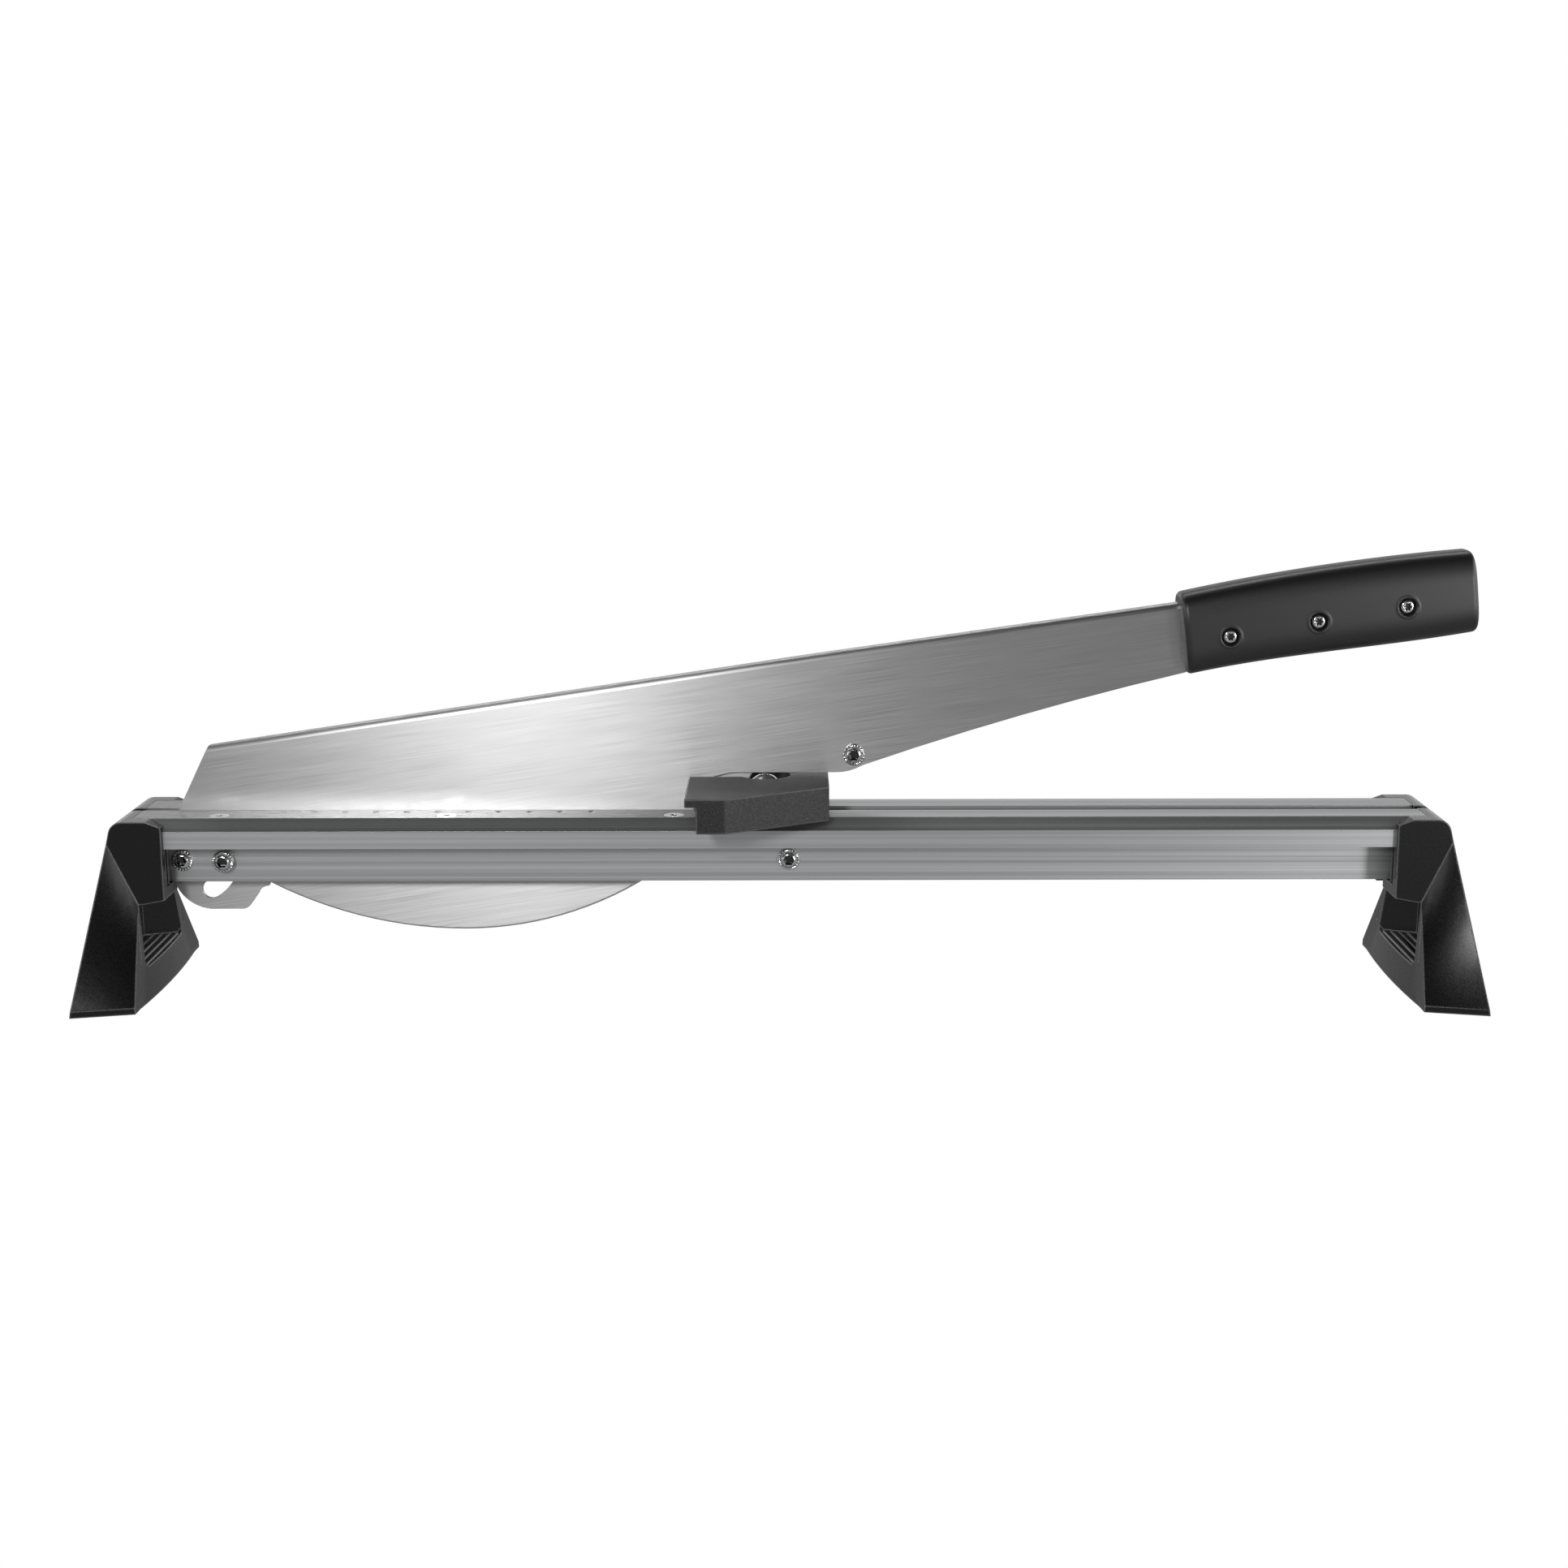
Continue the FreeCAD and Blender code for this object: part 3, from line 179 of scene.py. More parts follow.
# ---------------------------------------------------------------- finishes
@dataclass(frozen=True)
class BrushedSteel:
    """Cold-rolled steel sheet, belt brushed: long hair lines spread light across the grain."""

    name: str
    dark: str = "#adadad"
    light: str = "#c4c4c4"
    roughness: float = 0.36
    grain: Grain = Grain.ALONG_LEVER
    line_mm: float = 0.3       # belt scratches are 0.05 mm wide: drawn coarser so that they show
    run_mm: float = 45.0
    relief: float = 0.08

    def build(self) -> bpy.types.Material:
        """Make the material.

        Returns:
            The new material.
        """
        material, tree, shader = new_material(self.name)
        hair = stretched_noise(tree, (self.run_mm, self.line_mm * 4, self.line_mm), self.grain.value, 3.0)
        cloud = stretched_noise(tree, (90.0, 40.0, 9.0), self.grain.value, 2.0)
        both = add_node(tree, "ShaderNodeMath", {"operation": "ADD"},
                        {0: ramp(tree, hair, 0.3, 0.7, 0.0, 0.8), 1: ramp(tree, cloud, 0.35, 0.65, 0.0, 0.2)})
        tint = add_node(tree, "ShaderNodeMix", {"data_type": "RGBA"},
                        {"Factor": both.outputs[0], "A": srgb(self.dark), "B": srgb(self.light)})
        relief = add_node(tree, "ShaderNodeBump", inputs={"Height": hair, "Distance": SCRATCH_DEPTH,
                                                             "Strength": self.relief})
        tangent = add_node(tree, "ShaderNodeTangent", {"direction_type": "UV_MAP", "uv_map": "grain"})
        tree.links.new(tint.outputs["Result"], shader.inputs["Base Color"])
        tree.links.new(ramp(tree, hair, 0.3, 0.7, self.roughness - 0.05, self.roughness + 0.05),
                       shader.inputs["Roughness"])
        tree.links.new(relief.outputs["Normal"], shader.inputs["Normal"])
        tree.links.new(tangent.outputs["Tangent"], shader.inputs["Tangent"])
        shader.inputs["Metallic"].default_value = 1.0
        shader.inputs["Anisotropic"].default_value = 0.8
        return material


@dataclass(frozen=True)
class AnodisedAluminium:
    """Extruded 6063 profile, satin anodised: faint die lines run the whole length."""

    name: str
    dark: str = "#979899"
    light: str = "#c5c6c7"
    roughness: float = 0.44
    line_mm: float = 0.45      # die lines are about 0.1 mm: drawn coarser so that they show
    band_mm: float = 2.6       # bands where the die was polished less
    relief: float = 0.2

    def build(self) -> bpy.types.Material:
        """Make the material.

        Returns:
            The new material.
        """
        material, tree, shader = new_material(self.name)
        lines = stretched_noise(tree, (900.0, self.line_mm, self.line_mm), 0.0, 3.0)
        bands = stretched_noise(tree, (900.0, self.band_mm, self.band_mm), 0.0, 1.0)
        both = add_node(tree, "ShaderNodeMath", {"operation": "ADD"},
                        {0: ramp(tree, lines, 0.3, 0.7, 0.0, 0.5),
                          1: ramp(tree, bands, 0.35, 0.65, 0.0, 0.5)})
        tint = add_node(tree, "ShaderNodeMix", {"data_type": "RGBA"},
                        {"Factor": both.outputs[0], "A": srgb(self.dark), "B": srgb(self.light)})
        relief = add_node(tree, "ShaderNodeBump",
                          inputs={"Height": lines, "Distance": SCRATCH_DEPTH, "Strength": self.relief})
        tree.links.new(tint.outputs["Result"], shader.inputs["Base Color"])
        tree.links.new(relief.outputs["Normal"], shader.inputs["Normal"])
        shader.inputs["Metallic"].default_value = 1.0
        shader.inputs["Roughness"].default_value = self.roughness
        return material


@dataclass(frozen=True)
class MouldedPlastic:
    """Glass-filled polyamide, spark-eroded mould: a fine even grain breaks up the highlights."""

    name: str
    shade: str = "#141414"
    roughness: float = 0.36
    grain_mm: float = 0.55     # mould grain is about 0.2 mm: drawn coarser so that it shows
    depth_mm: float = 0.03
    fleck: str = "#1b1b1b"
    gloss: float = 0.5         # share of the mirror reflection that the moulded skin keeps
    edge: str = "#1b1b1b"      # painted highlight: rounded edges are coloured paler in place of the light they catch
    edge_mm: float = 1.0

    def build(self) -> bpy.types.Material:
        """Make the material.

        Returns:
            The new material.
        """
        material, tree, shader = new_material(self.name)
        grain = stretched_noise(tree, (self.grain_mm,) * 3, 0.0, 3.0)
        tint = add_node(tree, "ShaderNodeMix", {"data_type": "RGBA"},
                        {"Factor": ramp(tree, grain, 0.45, 0.7), "A": srgb(self.shade),
                          "B": srgb(self.fleck)})
        rounded = add_node(tree, "ShaderNodeBevel", {"samples": 6}, {"Radius": self.edge_mm * MM})
        relief = add_node(tree, "ShaderNodeBump",
                          inputs={"Height": grain, "Distance": self.depth_mm * MM, "Strength": 1.0,
                                  "Normal": rounded.outputs["Normal"]})
        # painted highlight: where the rounded normal turns away from the true normal, near edges, the colour
        # goes to the paler edge colour
        skin = add_node(tree, "ShaderNodeNewGeometry").outputs["True Normal"]
        turned = add_node(tree, "ShaderNodeVectorMath", {"operation": "DOT_PRODUCT"},
                          {0: rounded.outputs["Normal"], 1: skin}).outputs["Value"]
        painted_edge_highlight = add_node(tree, "ShaderNodeMix", {"data_type": "RGBA"},
                          {"Factor": ramp(tree, turned, 0.995, 0.96), "A": tint.outputs["Result"],
                            "B": srgb(self.edge)})
        tree.links.new(painted_edge_highlight.outputs["Result"], shader.inputs["Base Color"])
        tree.links.new(ramp(tree, grain, 0.3, 0.7, self.roughness - 0.06, self.roughness + 0.06),
                       shader.inputs["Roughness"])
        tree.links.new(relief.outputs["Normal"], shader.inputs["Normal"])
        shader.inputs["IOR"].default_value = 1.53
        shader.inputs["Specular IOR Level"].default_value = self.gloss
        return material


@dataclass(frozen=True)
class BrightZinc:
    """Steel fasteners, bright zinc plated: sharp small highlights, and sockets painted darker as shade."""

    name: str
    shade: str = "#d2d2d2"
    roughness: float = 0.14
    socket: str = "#4a4a4a"    # painted shade: the inside of the sockets is coloured darker

    def build(self) -> bpy.types.Material:
        """Make the material.

        Returns:
            The new material.
        """
        material, tree, shader = new_material(self.name)
        bloom = stretched_noise(tree, (1.2, 1.2, 1.2), 0.0, 3.0)
        tree.links.new(ramp(tree, bloom, 0.3, 0.7, self.roughness - 0.04, self.roughness + 0.08),
                       shader.inputs["Roughness"])
        # painted shade: the socket mask darkens the inside of the sockets
        painted_socket_shade = add_node(tree, "ShaderNodeAttribute", {"attribute_name": "painted_socket_shade"})
        tint = add_node(tree, "ShaderNodeMix", {"data_type": "RGBA"},
                        {"Factor": painted_socket_shade.outputs["Fac"], "A": srgb(self.shade), "B": srgb(self.socket)})
        tree.links.new(tint.outputs["Result"], shader.inputs["Base Color"])
        shader.inputs["Metallic"].default_value = 1.0
        return material


@dataclass(frozen=True)
class PlainSolid:
    """Moulded rubber or acetal: matt, with a soft cloudy shade."""

    name: str
    dark: str
    light: str
    roughness: float

    def build(self) -> bpy.types.Material:
        """Make the material.

        Returns:
            The new material.
        """
        material, tree, shader = new_material(self.name)
        cloud = stretched_noise(tree, (2.0, 2.0, 2.0), 0.0, 3.0)
        tint = add_node(tree, "ShaderNodeMix", {"data_type": "RGBA"},
                        {"Factor": ramp(tree, cloud, 0.3, 0.7), "A": srgb(self.dark), "B": srgb(self.light)})
        tree.links.new(tint.outputs["Result"], shader.inputs["Base Color"])
        shader.inputs["Roughness"].default_value = self.roughness
        return material


# ---------------------------------------------------------------- surfaces
def mesh_object(name: str, points: np.ndarray, faces: np.ndarray) -> bpy.types.Object:
    """Put points and faces into a linked object at the origin.

    Args:
        name: object and mesh name.
        points: vertex positions, shape (n, 3), metres.
        faces: corner indices, shape (m, 3 or 4).

    Returns:
        The new object.
    """
    mesh = bpy.data.meshes.new(name)
    mesh.from_pydata(points.reshape(-1, 3).tolist(), [], faces.tolist())
    mesh.validate()
    mesh.update()
    piece = bpy.data.objects.new(name, mesh)
    bpy.context.scene.collection.objects.link(piece)
    return piece


def grid_faces(rows: int, columns: int, wrap: bool) -> np.ndarray:
    """Quads between neighbouring rows and columns of a point grid.

    Args:
        rows: number of rows.
        columns: points in a row.
        wrap: also join the last column to the first.

    Returns:
        Corner indices, shape (m, 4).
    """
    spans = columns if wrap else columns - 1
    row, column = np.meshgrid(np.arange(rows - 1), np.arange(spans), indexing="ij")
    after = (column + 1) % columns
    here, below = row * columns, (row + 1) * columns
    quads = [here + column, here + after, below + after, below + column]
    return np.stack(quads, axis=-1).reshape(-1, 4)


def smooth_by_angle(mesh: bpy.types.Mesh, degrees: float) -> None:
    """Shade a mesh smooth, apart from edges sharper than an angle.

    Args:
        mesh: mesh to shade.
        degrees: edges that turn by more stay sharp.
    """
    mesh.polygons.foreach_set("use_smooth", np.ones(len(mesh.polygons), dtype=bool))
    mesh.set_sharp_from_angle(angle=math.radians(degrees))


def write_grain(mesh: bpy.types.Mesh, grain: Grain) -> None:
    """Write the UV map "grain": u runs across the brush lines, v runs along them.

    With the grain turned by a in the XZ plane, v = x cos a + z sin a and
    u = z cos a - x sin a + y, so that upright and level faces both get a direction.

    Args:
        mesh: mesh that gets the map.
        grain: direction of the brush lines.
    """
    place = np.empty(len(mesh.vertices) * 3, dtype=np.float32)
    mesh.vertices.foreach_get("co", place)
    place = place.reshape(-1, 3)
    corner = np.empty(len(mesh.loops), dtype=np.int32)
    mesh.loops.foreach_get("vertex_index", corner)
    turn = math.radians(grain.value)
    along = place[:, 0] * math.cos(turn) + place[:, 2] * math.sin(turn)
    across = place[:, 2] * math.cos(turn) - place[:, 0] * math.sin(turn) + place[:, 1]
    layer = mesh.uv_layers.new(name="grain")
    layer.data.foreach_set("uv", np.stack([across, along], axis=-1)[corner].ravel())


def eased_copy(node: str, name: str, ease_mm: float, steps: int = 2, least_deg: float = 28.0,
               grain: Grain = Grain.ALONG_RAIL) -> bpy.types.Object:
    """Copy a CAD node's skin, join its triangles and round its edges.

    Args:
        node: CAD node to copy.
        name: name of the new piece.
        ease_mm: radius of the eased edges, in millimetres; 0 leaves them sharp.
        steps: faces across an eased edge.
        least_deg: edges that turn by less are left alone.
        grain: direction of the brush lines.

    Returns:
        The new piece, at the origin.
    """
    skin = bmesh.new()
    skin.from_mesh(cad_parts[node].data)
    bmesh.ops.remove_doubles(skin, verts=skin.verts, dist=WELD)
    bmesh.ops.dissolve_limit(skin, angle_limit=math.radians(FLAT_DEG), verts=skin.verts, edges=skin.edges)
    mesh = bpy.data.meshes.new(name)
    skin.to_mesh(mesh)
    skin.free()
    if "custom_normal" in mesh.attributes:
        mesh.attributes.remove(mesh.attributes["custom_normal"])
    smooth_by_angle(mesh, least_deg + EASE_MARGIN_DEG)
    piece = bpy.data.objects.new(name, mesh)
    bpy.context.scene.collection.objects.link(piece)
    if ease_mm > 0.0:
        bevel = piece.modifiers.new("ease", "BEVEL")
        bevel.width = ease_mm * MM
        bevel.segments = steps
        bevel.limit_method = "ANGLE"
        bevel.angle_limit = math.radians(least_deg)
        bevel.use_clamp_overlap = True
        bevel.miter_outer = "MITER_ARC"
        weighted = piece.modifiers.new("flat faces stay flat", "WEIGHTED_NORMAL")
        weighted.keep_sharp = True
        settled = bpy.data.meshes.new_from_object(piece.evaluated_get(bpy.context.evaluated_depsgraph_get()))
        piece.modifiers.clear()
        piece.data = settled
        bpy.data.meshes.remove(mesh)
        settled.name = name
    write_grain(piece.data, grain)
    return piece


def closed_skin(piece: bpy.types.Object) -> None:
    """Merge the doubled points of seams and poles and turn all faces outwards.

    Args:
        piece: object whose mesh is mended.
    """
    skin = bmesh.new()
    skin.from_mesh(piece.data)
    bmesh.ops.remove_doubles(skin, verts=skin.verts, dist=WELD)
    bmesh.ops.recalc_face_normals(skin, faces=skin.faces)
    skin.to_mesh(piece.data)
    skin.free()


@dataclass(frozen=True)
class TurnedScrew:
    """Screw with its head towards the user: a profile turned about the axis of its shank.

    Each row of the grid is a ring of the profile (radius, height over the seat). The rings of the
    socket are divided by the cosine of the angle to the nearest flat, which makes them hexagons, or
    swell with a cosine of the turn, which makes them lobes. On the rim the height swings with the
    cosine of the turn, which cuts lock teeth.
    """

    socket: tuple[tuple[float, float], ...]
    crown: tuple[tuple[float, float], ...]
    rim: tuple[tuple[float, float], ...]
    stem: tuple[tuple[float, float], ...]
    drive: Drive
    teeth: int = 20
    tooth_height: float = 0.16
    lobe_swell: float = 0.16
    tip: float = 0.5                                # length of the chamfer at the shank's end
    tip_inset: float = 0.4
    around: int = 120

    def build(self, name: str, seats: list[tuple[float, float, float]], length_mm: float) -> bpy.types.Object:
        """Make one piece of equal screws.

        Args:
            name: name of the piece.
            seats: middles of the faces under the heads, in metres.
            length_mm: length of the shanks.

        Returns:
            The new piece, at the origin.
        """
        bore = self.stem[-1][0]
        shank = [(bore, self.tip - length_mm), (bore - self.tip_inset, -length_mm), (0.0, -length_mm)]
        profile = np.array([*self.socket, *self.crown, *self.rim, *self.stem, *shank])
        turn = np.linspace(0.0, 2.0 * math.pi, self.around, endpoint=False)
        radius = np.repeat(profile[:, :1], self.around, axis=1)
        if self.drive is Drive.HEXAGON:
            radius[:len(self.socket)] /= np.cos(np.mod(turn, math.pi / 3.0) - math.pi / 6.0)
        else:
            radius[:len(self.socket)] *= 1.0 + self.lobe_swell * np.cos(6.0 * turn)
        height = np.repeat(profile[:, 1:], self.around, axis=1)
        first = len(self.socket) + len(self.crown)
        height[first:first + len(self.rim)] += self.tooth_height * np.cos(self.teeth * turn)
        one = np.stack([radius * np.cos(turn), -height, radius * np.sin(turn)], axis=-1).reshape(-1, 3) * MM
        faces = grid_faces(len(profile), self.around, True)
        points = np.concatenate([one + np.array(seat) for seat in seats])
        piece = mesh_object(name, points, np.concatenate([faces + i * len(one) for i in range(len(seats))]))
        # mask for the painted shade: rings inside the socket get 1, the rest 0
        depth = np.zeros_like(radius)
        depth[:len(self.socket) - 1] = 1.0
        painted_socket_shade = piece.data.attributes.new("painted_socket_shade", "FLOAT", "POINT")
        painted_socket_shade.data.foreach_set("value", np.tile(depth.ravel(), len(seats)).astype(np.float32))
        closed_skin(piece)
        smooth_by_angle(piece.data, CREASE_DEG)
        return piece


SOCKET_SCREW = TurnedScrew(
    socket=((0.0, -0.6), (2.2, 0.2), (2.25, 2.8), (2.4, 3.0)),
    crown=((2.95, 2.9), (3.25, 2.7), (3.45, 2.35), (3.55, 1.9), (3.6, 0.75), (3.95, 0.7)),
    rim=((4.1, 1.35), (4.35, 1.6), (4.75, 1.6), (5.1, 1.35)),
    stem=((5.25, 0.9), (5.25, 0.0), (3.0, 0.0)), drive=Drive.HEXAGON)
PAN_SCREW = TurnedScrew(
    socket=((0.0, 0.3), (1.5, 0.5), (1.55, 1.8), (1.7, 2.05)),
    crown=((2.15, 2.1), (2.7, 1.98), (3.1, 1.7), (3.35, 1.2), (3.4, 0.5), (3.4, 0.0)),
    rim=(), stem=((1.75, 0.0),), drive=Drive.LOBES)


# ---------------------------------------------------------------- sub-assemblies
@dataclass
class SubAssembly:
    """A group of pieces that ride on one body."""

    body: Body
    pieces: list[bpy.types.Object] = field(default_factory=list)

    def dress(self, piece: bpy.types.Object, material: bpy.types.Material, slot: str, *nodes: str) -> None:
        """Finish a piece: material, body and the CAD nodes it stands for.

        Args:
            piece: the piece.
            material: its finish.
            slot: name of its material slot; not used.
            nodes: CAD nodes that the piece replaces.
        """
        piece.data.materials.clear()
        piece.data.materials.append(material)
        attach(piece, self.body.value)
        if nodes:
            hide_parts(*nodes)
        self.pieces.append(piece)

    def keep(self, node: str, material: bpy.types.Material) -> None:
        """Keep a CAD node as it is and give it a finish.

        Args:
            node: CAD node.
            material: its finish.
        """
        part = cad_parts[node]
        if not part.data.materials:
            part.data.materials.append(material)
        for index in range(len(part.data.materials)):
            part.data.materials[index] = material


@dataclass
class Table(SubAssembly):
    """Two mirror-image rails with their steel plates and screws."""

    def build(self) -> None:
        """Build the rails, plates and plate screws."""
        aluminium = AnodisedAluminium("satin anodised aluminium, extruded").build()
        plate = BrushedSteel("ground steel strip", dark="#8c8c8c", light="#a8a8a8", roughness=0.3,
                             grain=Grain.ALONG_RAIL, line_mm=0.5, run_mm=20.0, relief=0.03).build()
        zinc = BrightZinc("bright zinc, countersunk screws").build()
        for side in ("front", "rear"):
            self.dress(eased_copy(f"{side}_rail", f"{side}_rail_profile", 0.35), aluminium, "rail_aluminium",
                       f"{side}_rail")
            self.dress(eased_copy(f"{side}_table_plate", f"{side}_plate_strip", 0.18), plate, "plate_steel",
                       f"{side}_table_plate")
            self.dress(eased_copy(f"{side}_plate_screws", f"{side}_plate_screw_heads", 0.15),
                       zinc, "zinc_steel",
                       f"{side}_plate_screws")


@dataclass
class Feet(SubAssembly):
    """Moulded feet with their carry pockets, pads and screws."""

    def build(self) -> None:
        """Build both feet."""
        # the edge colour paints a pale highlight along the rounded edges of the feet
        plastic = MouldedPlastic("glass-filled polyamide, foot moulding", shade="#0a0a0a", roughness=0.25,
                                 grain_mm=0.6, depth_mm=0.008, fleck="#0f0f0f", gloss=0.33,
                                 edge="#6c6c6c").build()
        rubber = PlainSolid("moulded rubber pad", "#1c1c1c", "#262626", 0.8).build()
        zinc = BrightZinc("bright zinc, foot screws").build()
        for side in ("left", "right"):
            moulding = eased_copy(f"{side}_foot", f"{side}_foot_moulding", 0.9, 3, least_deg=13.0)
            self.dress(moulding, plastic, "foot_plastic", f"{side}_foot")
            self.dress(eased_copy(f"{side}_foot_pads", f"{side}_ground_pads", 0.4), rubber, "pad_rubber",
                       f"{side}_foot_pads")
            self.keep(f"{side}_foot_screws", zinc)


@dataclass
class CrossBolts(SubAssembly):
    """Pivot, travel stop and tie: bolts, sleeves, washers and lock nuts."""

    axis_height: float = 0.0646
    bolt_places: dict[str, tuple[float, float]] = field(default_factory=lambda: {
        "pivot": (-0.292, -0.012), "travel_stop": (-0.2714, -0.015), "tie": (0.0046, -0.012)})
    bolt_end: float = 0.019

    def build(self) -> None:
        """Build the three bolt stacks."""
        zinc = BrightZinc("bright zinc, cross bolts").build()
        acetal = PlainSolid("acetal washer", "#d8d6ce", "#e6e4dc", 0.4).build()
        for stack in ("pivot", "travel_stop", "tie"):
            x, seat = self.bolt_places[stack]
            bolt = SOCKET_SCREW.build(f"{stack}_socket_bolt", [(x, seat, self.axis_height)],
                                      (self.bolt_end - seat) / MM)
            self.dress(bolt, zinc, "zinc_steel", f"{stack}_bolt")
            self.dress(eased_copy(f"{stack}_nut", f"{stack}_lock_nut", 0.3), zinc,
                       "zinc_steel", f"{stack}_nut")
            self.keep(f"{stack}_sleeve", zinc)
        self.keep("travel_stop_spacer", zinc)
        for side in ("front", "rear"):
            self.keep(f"{side}_pivot_washer", acetal)


@dataclass
class GripHalf:
    """One moulded half of the grip: rounded sections carried along a bent axis.

    Each section runs from the under line to the top line of the grip. Its outline is a
    superellipse: the height share is the cosine c of one angle, the depth share (1 - |c|^n)^(1/n).
    Towards each end the outline shrinks along a quarter circle. Screw wells sink in by a smooth
    step of the distance to the screw's axis, with a low bead round each.
    """

    side: float                                     # -1 towards the user, 1 away
    well_radius: float = 4.1
    well_depth: float = 3.0
    half_depth: float = 14.0
    squareness: float = 3.4
    end_round: float = 2.4
    bead: float = 0.3
    top_ends: tuple[float, float] = (192.4, 331.6)
    under_ends: tuple[float, float] = (197.3, 335.9)
    wall: float = 0.8                               # width of the step into a screw well
    crease_deg: float = 60.0
    bead_off: float = 0.9
    bead_width: float = 0.45
    steps_along: int = 400
    steps_round: int = 181
    top_line: tuple[tuple[float, float], ...] = (
        (192.9, 193.4), (220.8, 199.4), (251.7, 204.4), (274.5, 207.9), (298.6, 211.1), (314.7, 212.8),
        (327.4, 213.7))
    under_line: tuple[tuple[float, float], ...] = (
        (200.8, 154.9), (211.3, 156.8), (222.1, 158.8), (241.1, 162.2), (262.7, 164.6), (287.0, 167.7),
        (311.2, 171.1), (334.8, 174.7))
    screws: tuple[tuple[float, float], ...] = ((216.3, 173.6), (258.3, 180.7), (300.3, 187.8))

    def line(self, marks: tuple[tuple[float, float], ...], x: np.ndarray) -> np.ndarray:
        """Heights of a smooth line, a cubic fitted to its marks.

        Args:
            marks: (x, z) places that the line passes close to, in millimetres.
            x: places along X where heights are wanted.

        Returns:
            The heights at x.
        """
        places = np.array(marks)
        middle = places[:, 0].mean()
        return np.polyval(np.polyfit(places[:, 0] - middle, places[:, 1], 3), x - middle)

    def build(self, name: str) -> bpy.types.Object:
        """Make the half.

        Args:
            name: name of the piece.

        Returns:
            The new piece, at the origin.
        """
        run = self.top_ends[1] - self.top_ends[0]
        curl = np.linspace(0.0, math.pi / 2.0, 7)
        reach = self.end_round * (1.0 - np.cos(curl))
        inset = self.end_round * (1.0 - np.sin(curl))
        middle = np.linspace(self.end_round, run - self.end_round, self.steps_along)[1:-1]
        along = np.concatenate([[0.0], reach, middle, run - reach[::-1], [run]]) / run
        shrink = np.concatenate([[0.0], inset, np.zeros_like(middle), inset[::-1], [0.0]])
        solid = np.ones_like(along)
        solid[[0, -1]] = 0.0
        top_x = self.top_ends[0] + along * run
        under_x = self.under_ends[0] + along * (self.under_ends[1] - self.under_ends[0])
        top = np.stack([top_x, self.line(self.top_line, top_x)], axis=-1)
        under = np.stack([under_x, self.line(self.under_line, under_x)], axis=-1)
        centre, half = (top + under) / 2.0, (top - under) / 2.0
        tall = np.linalg.norm(half, axis=-1)
        rise = np.cos(np.linspace(0.0, math.pi, self.steps_round))
        bulge = (1.0 - np.abs(rise) ** self.squareness) ** (1.0 / self.squareness)
        height = (solid * (tall - shrink) / tall)[:, None] * rise
        flat = centre[:, None, :] + height[..., None] * half[:, None, :]
        depth = (solid * (self.half_depth - shrink))[:, None] * bulge
        outer = bulge > 0.5
        for x, z in self.screws:
            away = np.hypot(flat[..., 0] - x, flat[..., 1] - z)
            step = np.clip((self.well_radius + self.wall / 2.0 - away) / self.wall, 0.0, 1.0)
            depth -= self.well_depth * step * step * (3.0 - 2.0 * step) * outer
            off_bead = (away - self.well_radius - self.bead_off) / self.bead_width
            depth += self.bead * np.exp(-off_bead ** 2) * outer
        points = np.stack([flat[..., 0], self.side * depth, flat[..., 1]], axis=-1) * MM
        piece = mesh_object(name, points, grid_faces(len(along), len(rise), True))
        closed_skin(piece)
        smooth_by_angle(piece.data, self.crease_deg)
        return piece


@dataclass
class Lever(SubAssembly):
    """Knife, folded lever, clamping screw and grip."""

    clamp_seat: tuple[float, float, float] = (0.0364, -0.0023, 0.1146)
    clamp_length_mm: float = 10.1
    pan_seat: float = -0.011
    pan_length_mm: float = 22.0

    def build(self) -> None:
        """Build the moving lever."""
        blade = BrushedSteel("hardened knife steel, belt ground", dark="#b6b6b6", light="#cacaca",
                             roughness=0.38, line_mm=0.4, run_mm=50.0).build()
        sheet = BrushedSteel("stainless sheet, belt brushed").build()
        zinc = BrightZinc("bright zinc, lever screws").build()
        # the default edge colour paints a faint highlight along the grip's rounded edges
        plastic = MouldedPlastic("polyamide, grip shells", shade="#0f0f0f", roughness=0.4, grain_mm=0.5,
                                 depth_mm=0.012, fleck="#131313").build()
        self.dress(eased_copy("knife", "knife_plate", 0.0, grain=Grain.ALONG_LEVER), blade,
                   "knife_steel", "knife")
        self.dress(eased_copy("lever_arm", "folded_lever", 0.25, grain=Grain.ALONG_LEVER), sheet,
                   "lever_steel",
                   "lever_arm")
        clamp = SOCKET_SCREW.build("clamping_screw", [self.clamp_seat], self.clamp_length_mm)
        self.dress(clamp, zinc, "zinc_steel", "arm_screw")
        self.dress(eased_copy("arm_nut", "clamping_nut", 0.3), zinc, "zinc_steel", "arm_nut")
        halves = {"front": GripHalf(-1.0), "rear": GripHalf(1.0, well_radius=6.4, well_depth=4.5)}
        for side, half in halves.items():
            self.dress(half.build(f"{side}_grip_half"), plastic, "grip_plastic", f"{side}_grip_shell")
        seats = [(x * MM, self.pan_seat, z * MM) for x, z in halves["front"].screws]
        pans = PAN_SCREW.build("grip_pan_screws", seats, self.pan_length_mm)
        self.dress(pans, zinc, "zinc_steel", "grip_screws")
        self.keep("grip_nuts", zinc)


@dataclass
class SwivelStop(SubAssembly):
    """Fence block that swivels on its domed screw."""

    def build(self) -> None:
        """Build the fence block."""
        # the edge colour paints a pale highlight along the block's rounded edges
        plastic = MouldedPlastic("polyamide, fence block", shade="#101010", roughness=0.42, grain_mm=0.8,
                                 depth_mm=0.16, fleck="#343434", gloss=0.4, edge="#646464").build()
        self.dress(eased_copy("stop_block", "fence_block", 0.6, 3), plastic, "stop_plastic", "stop_block")


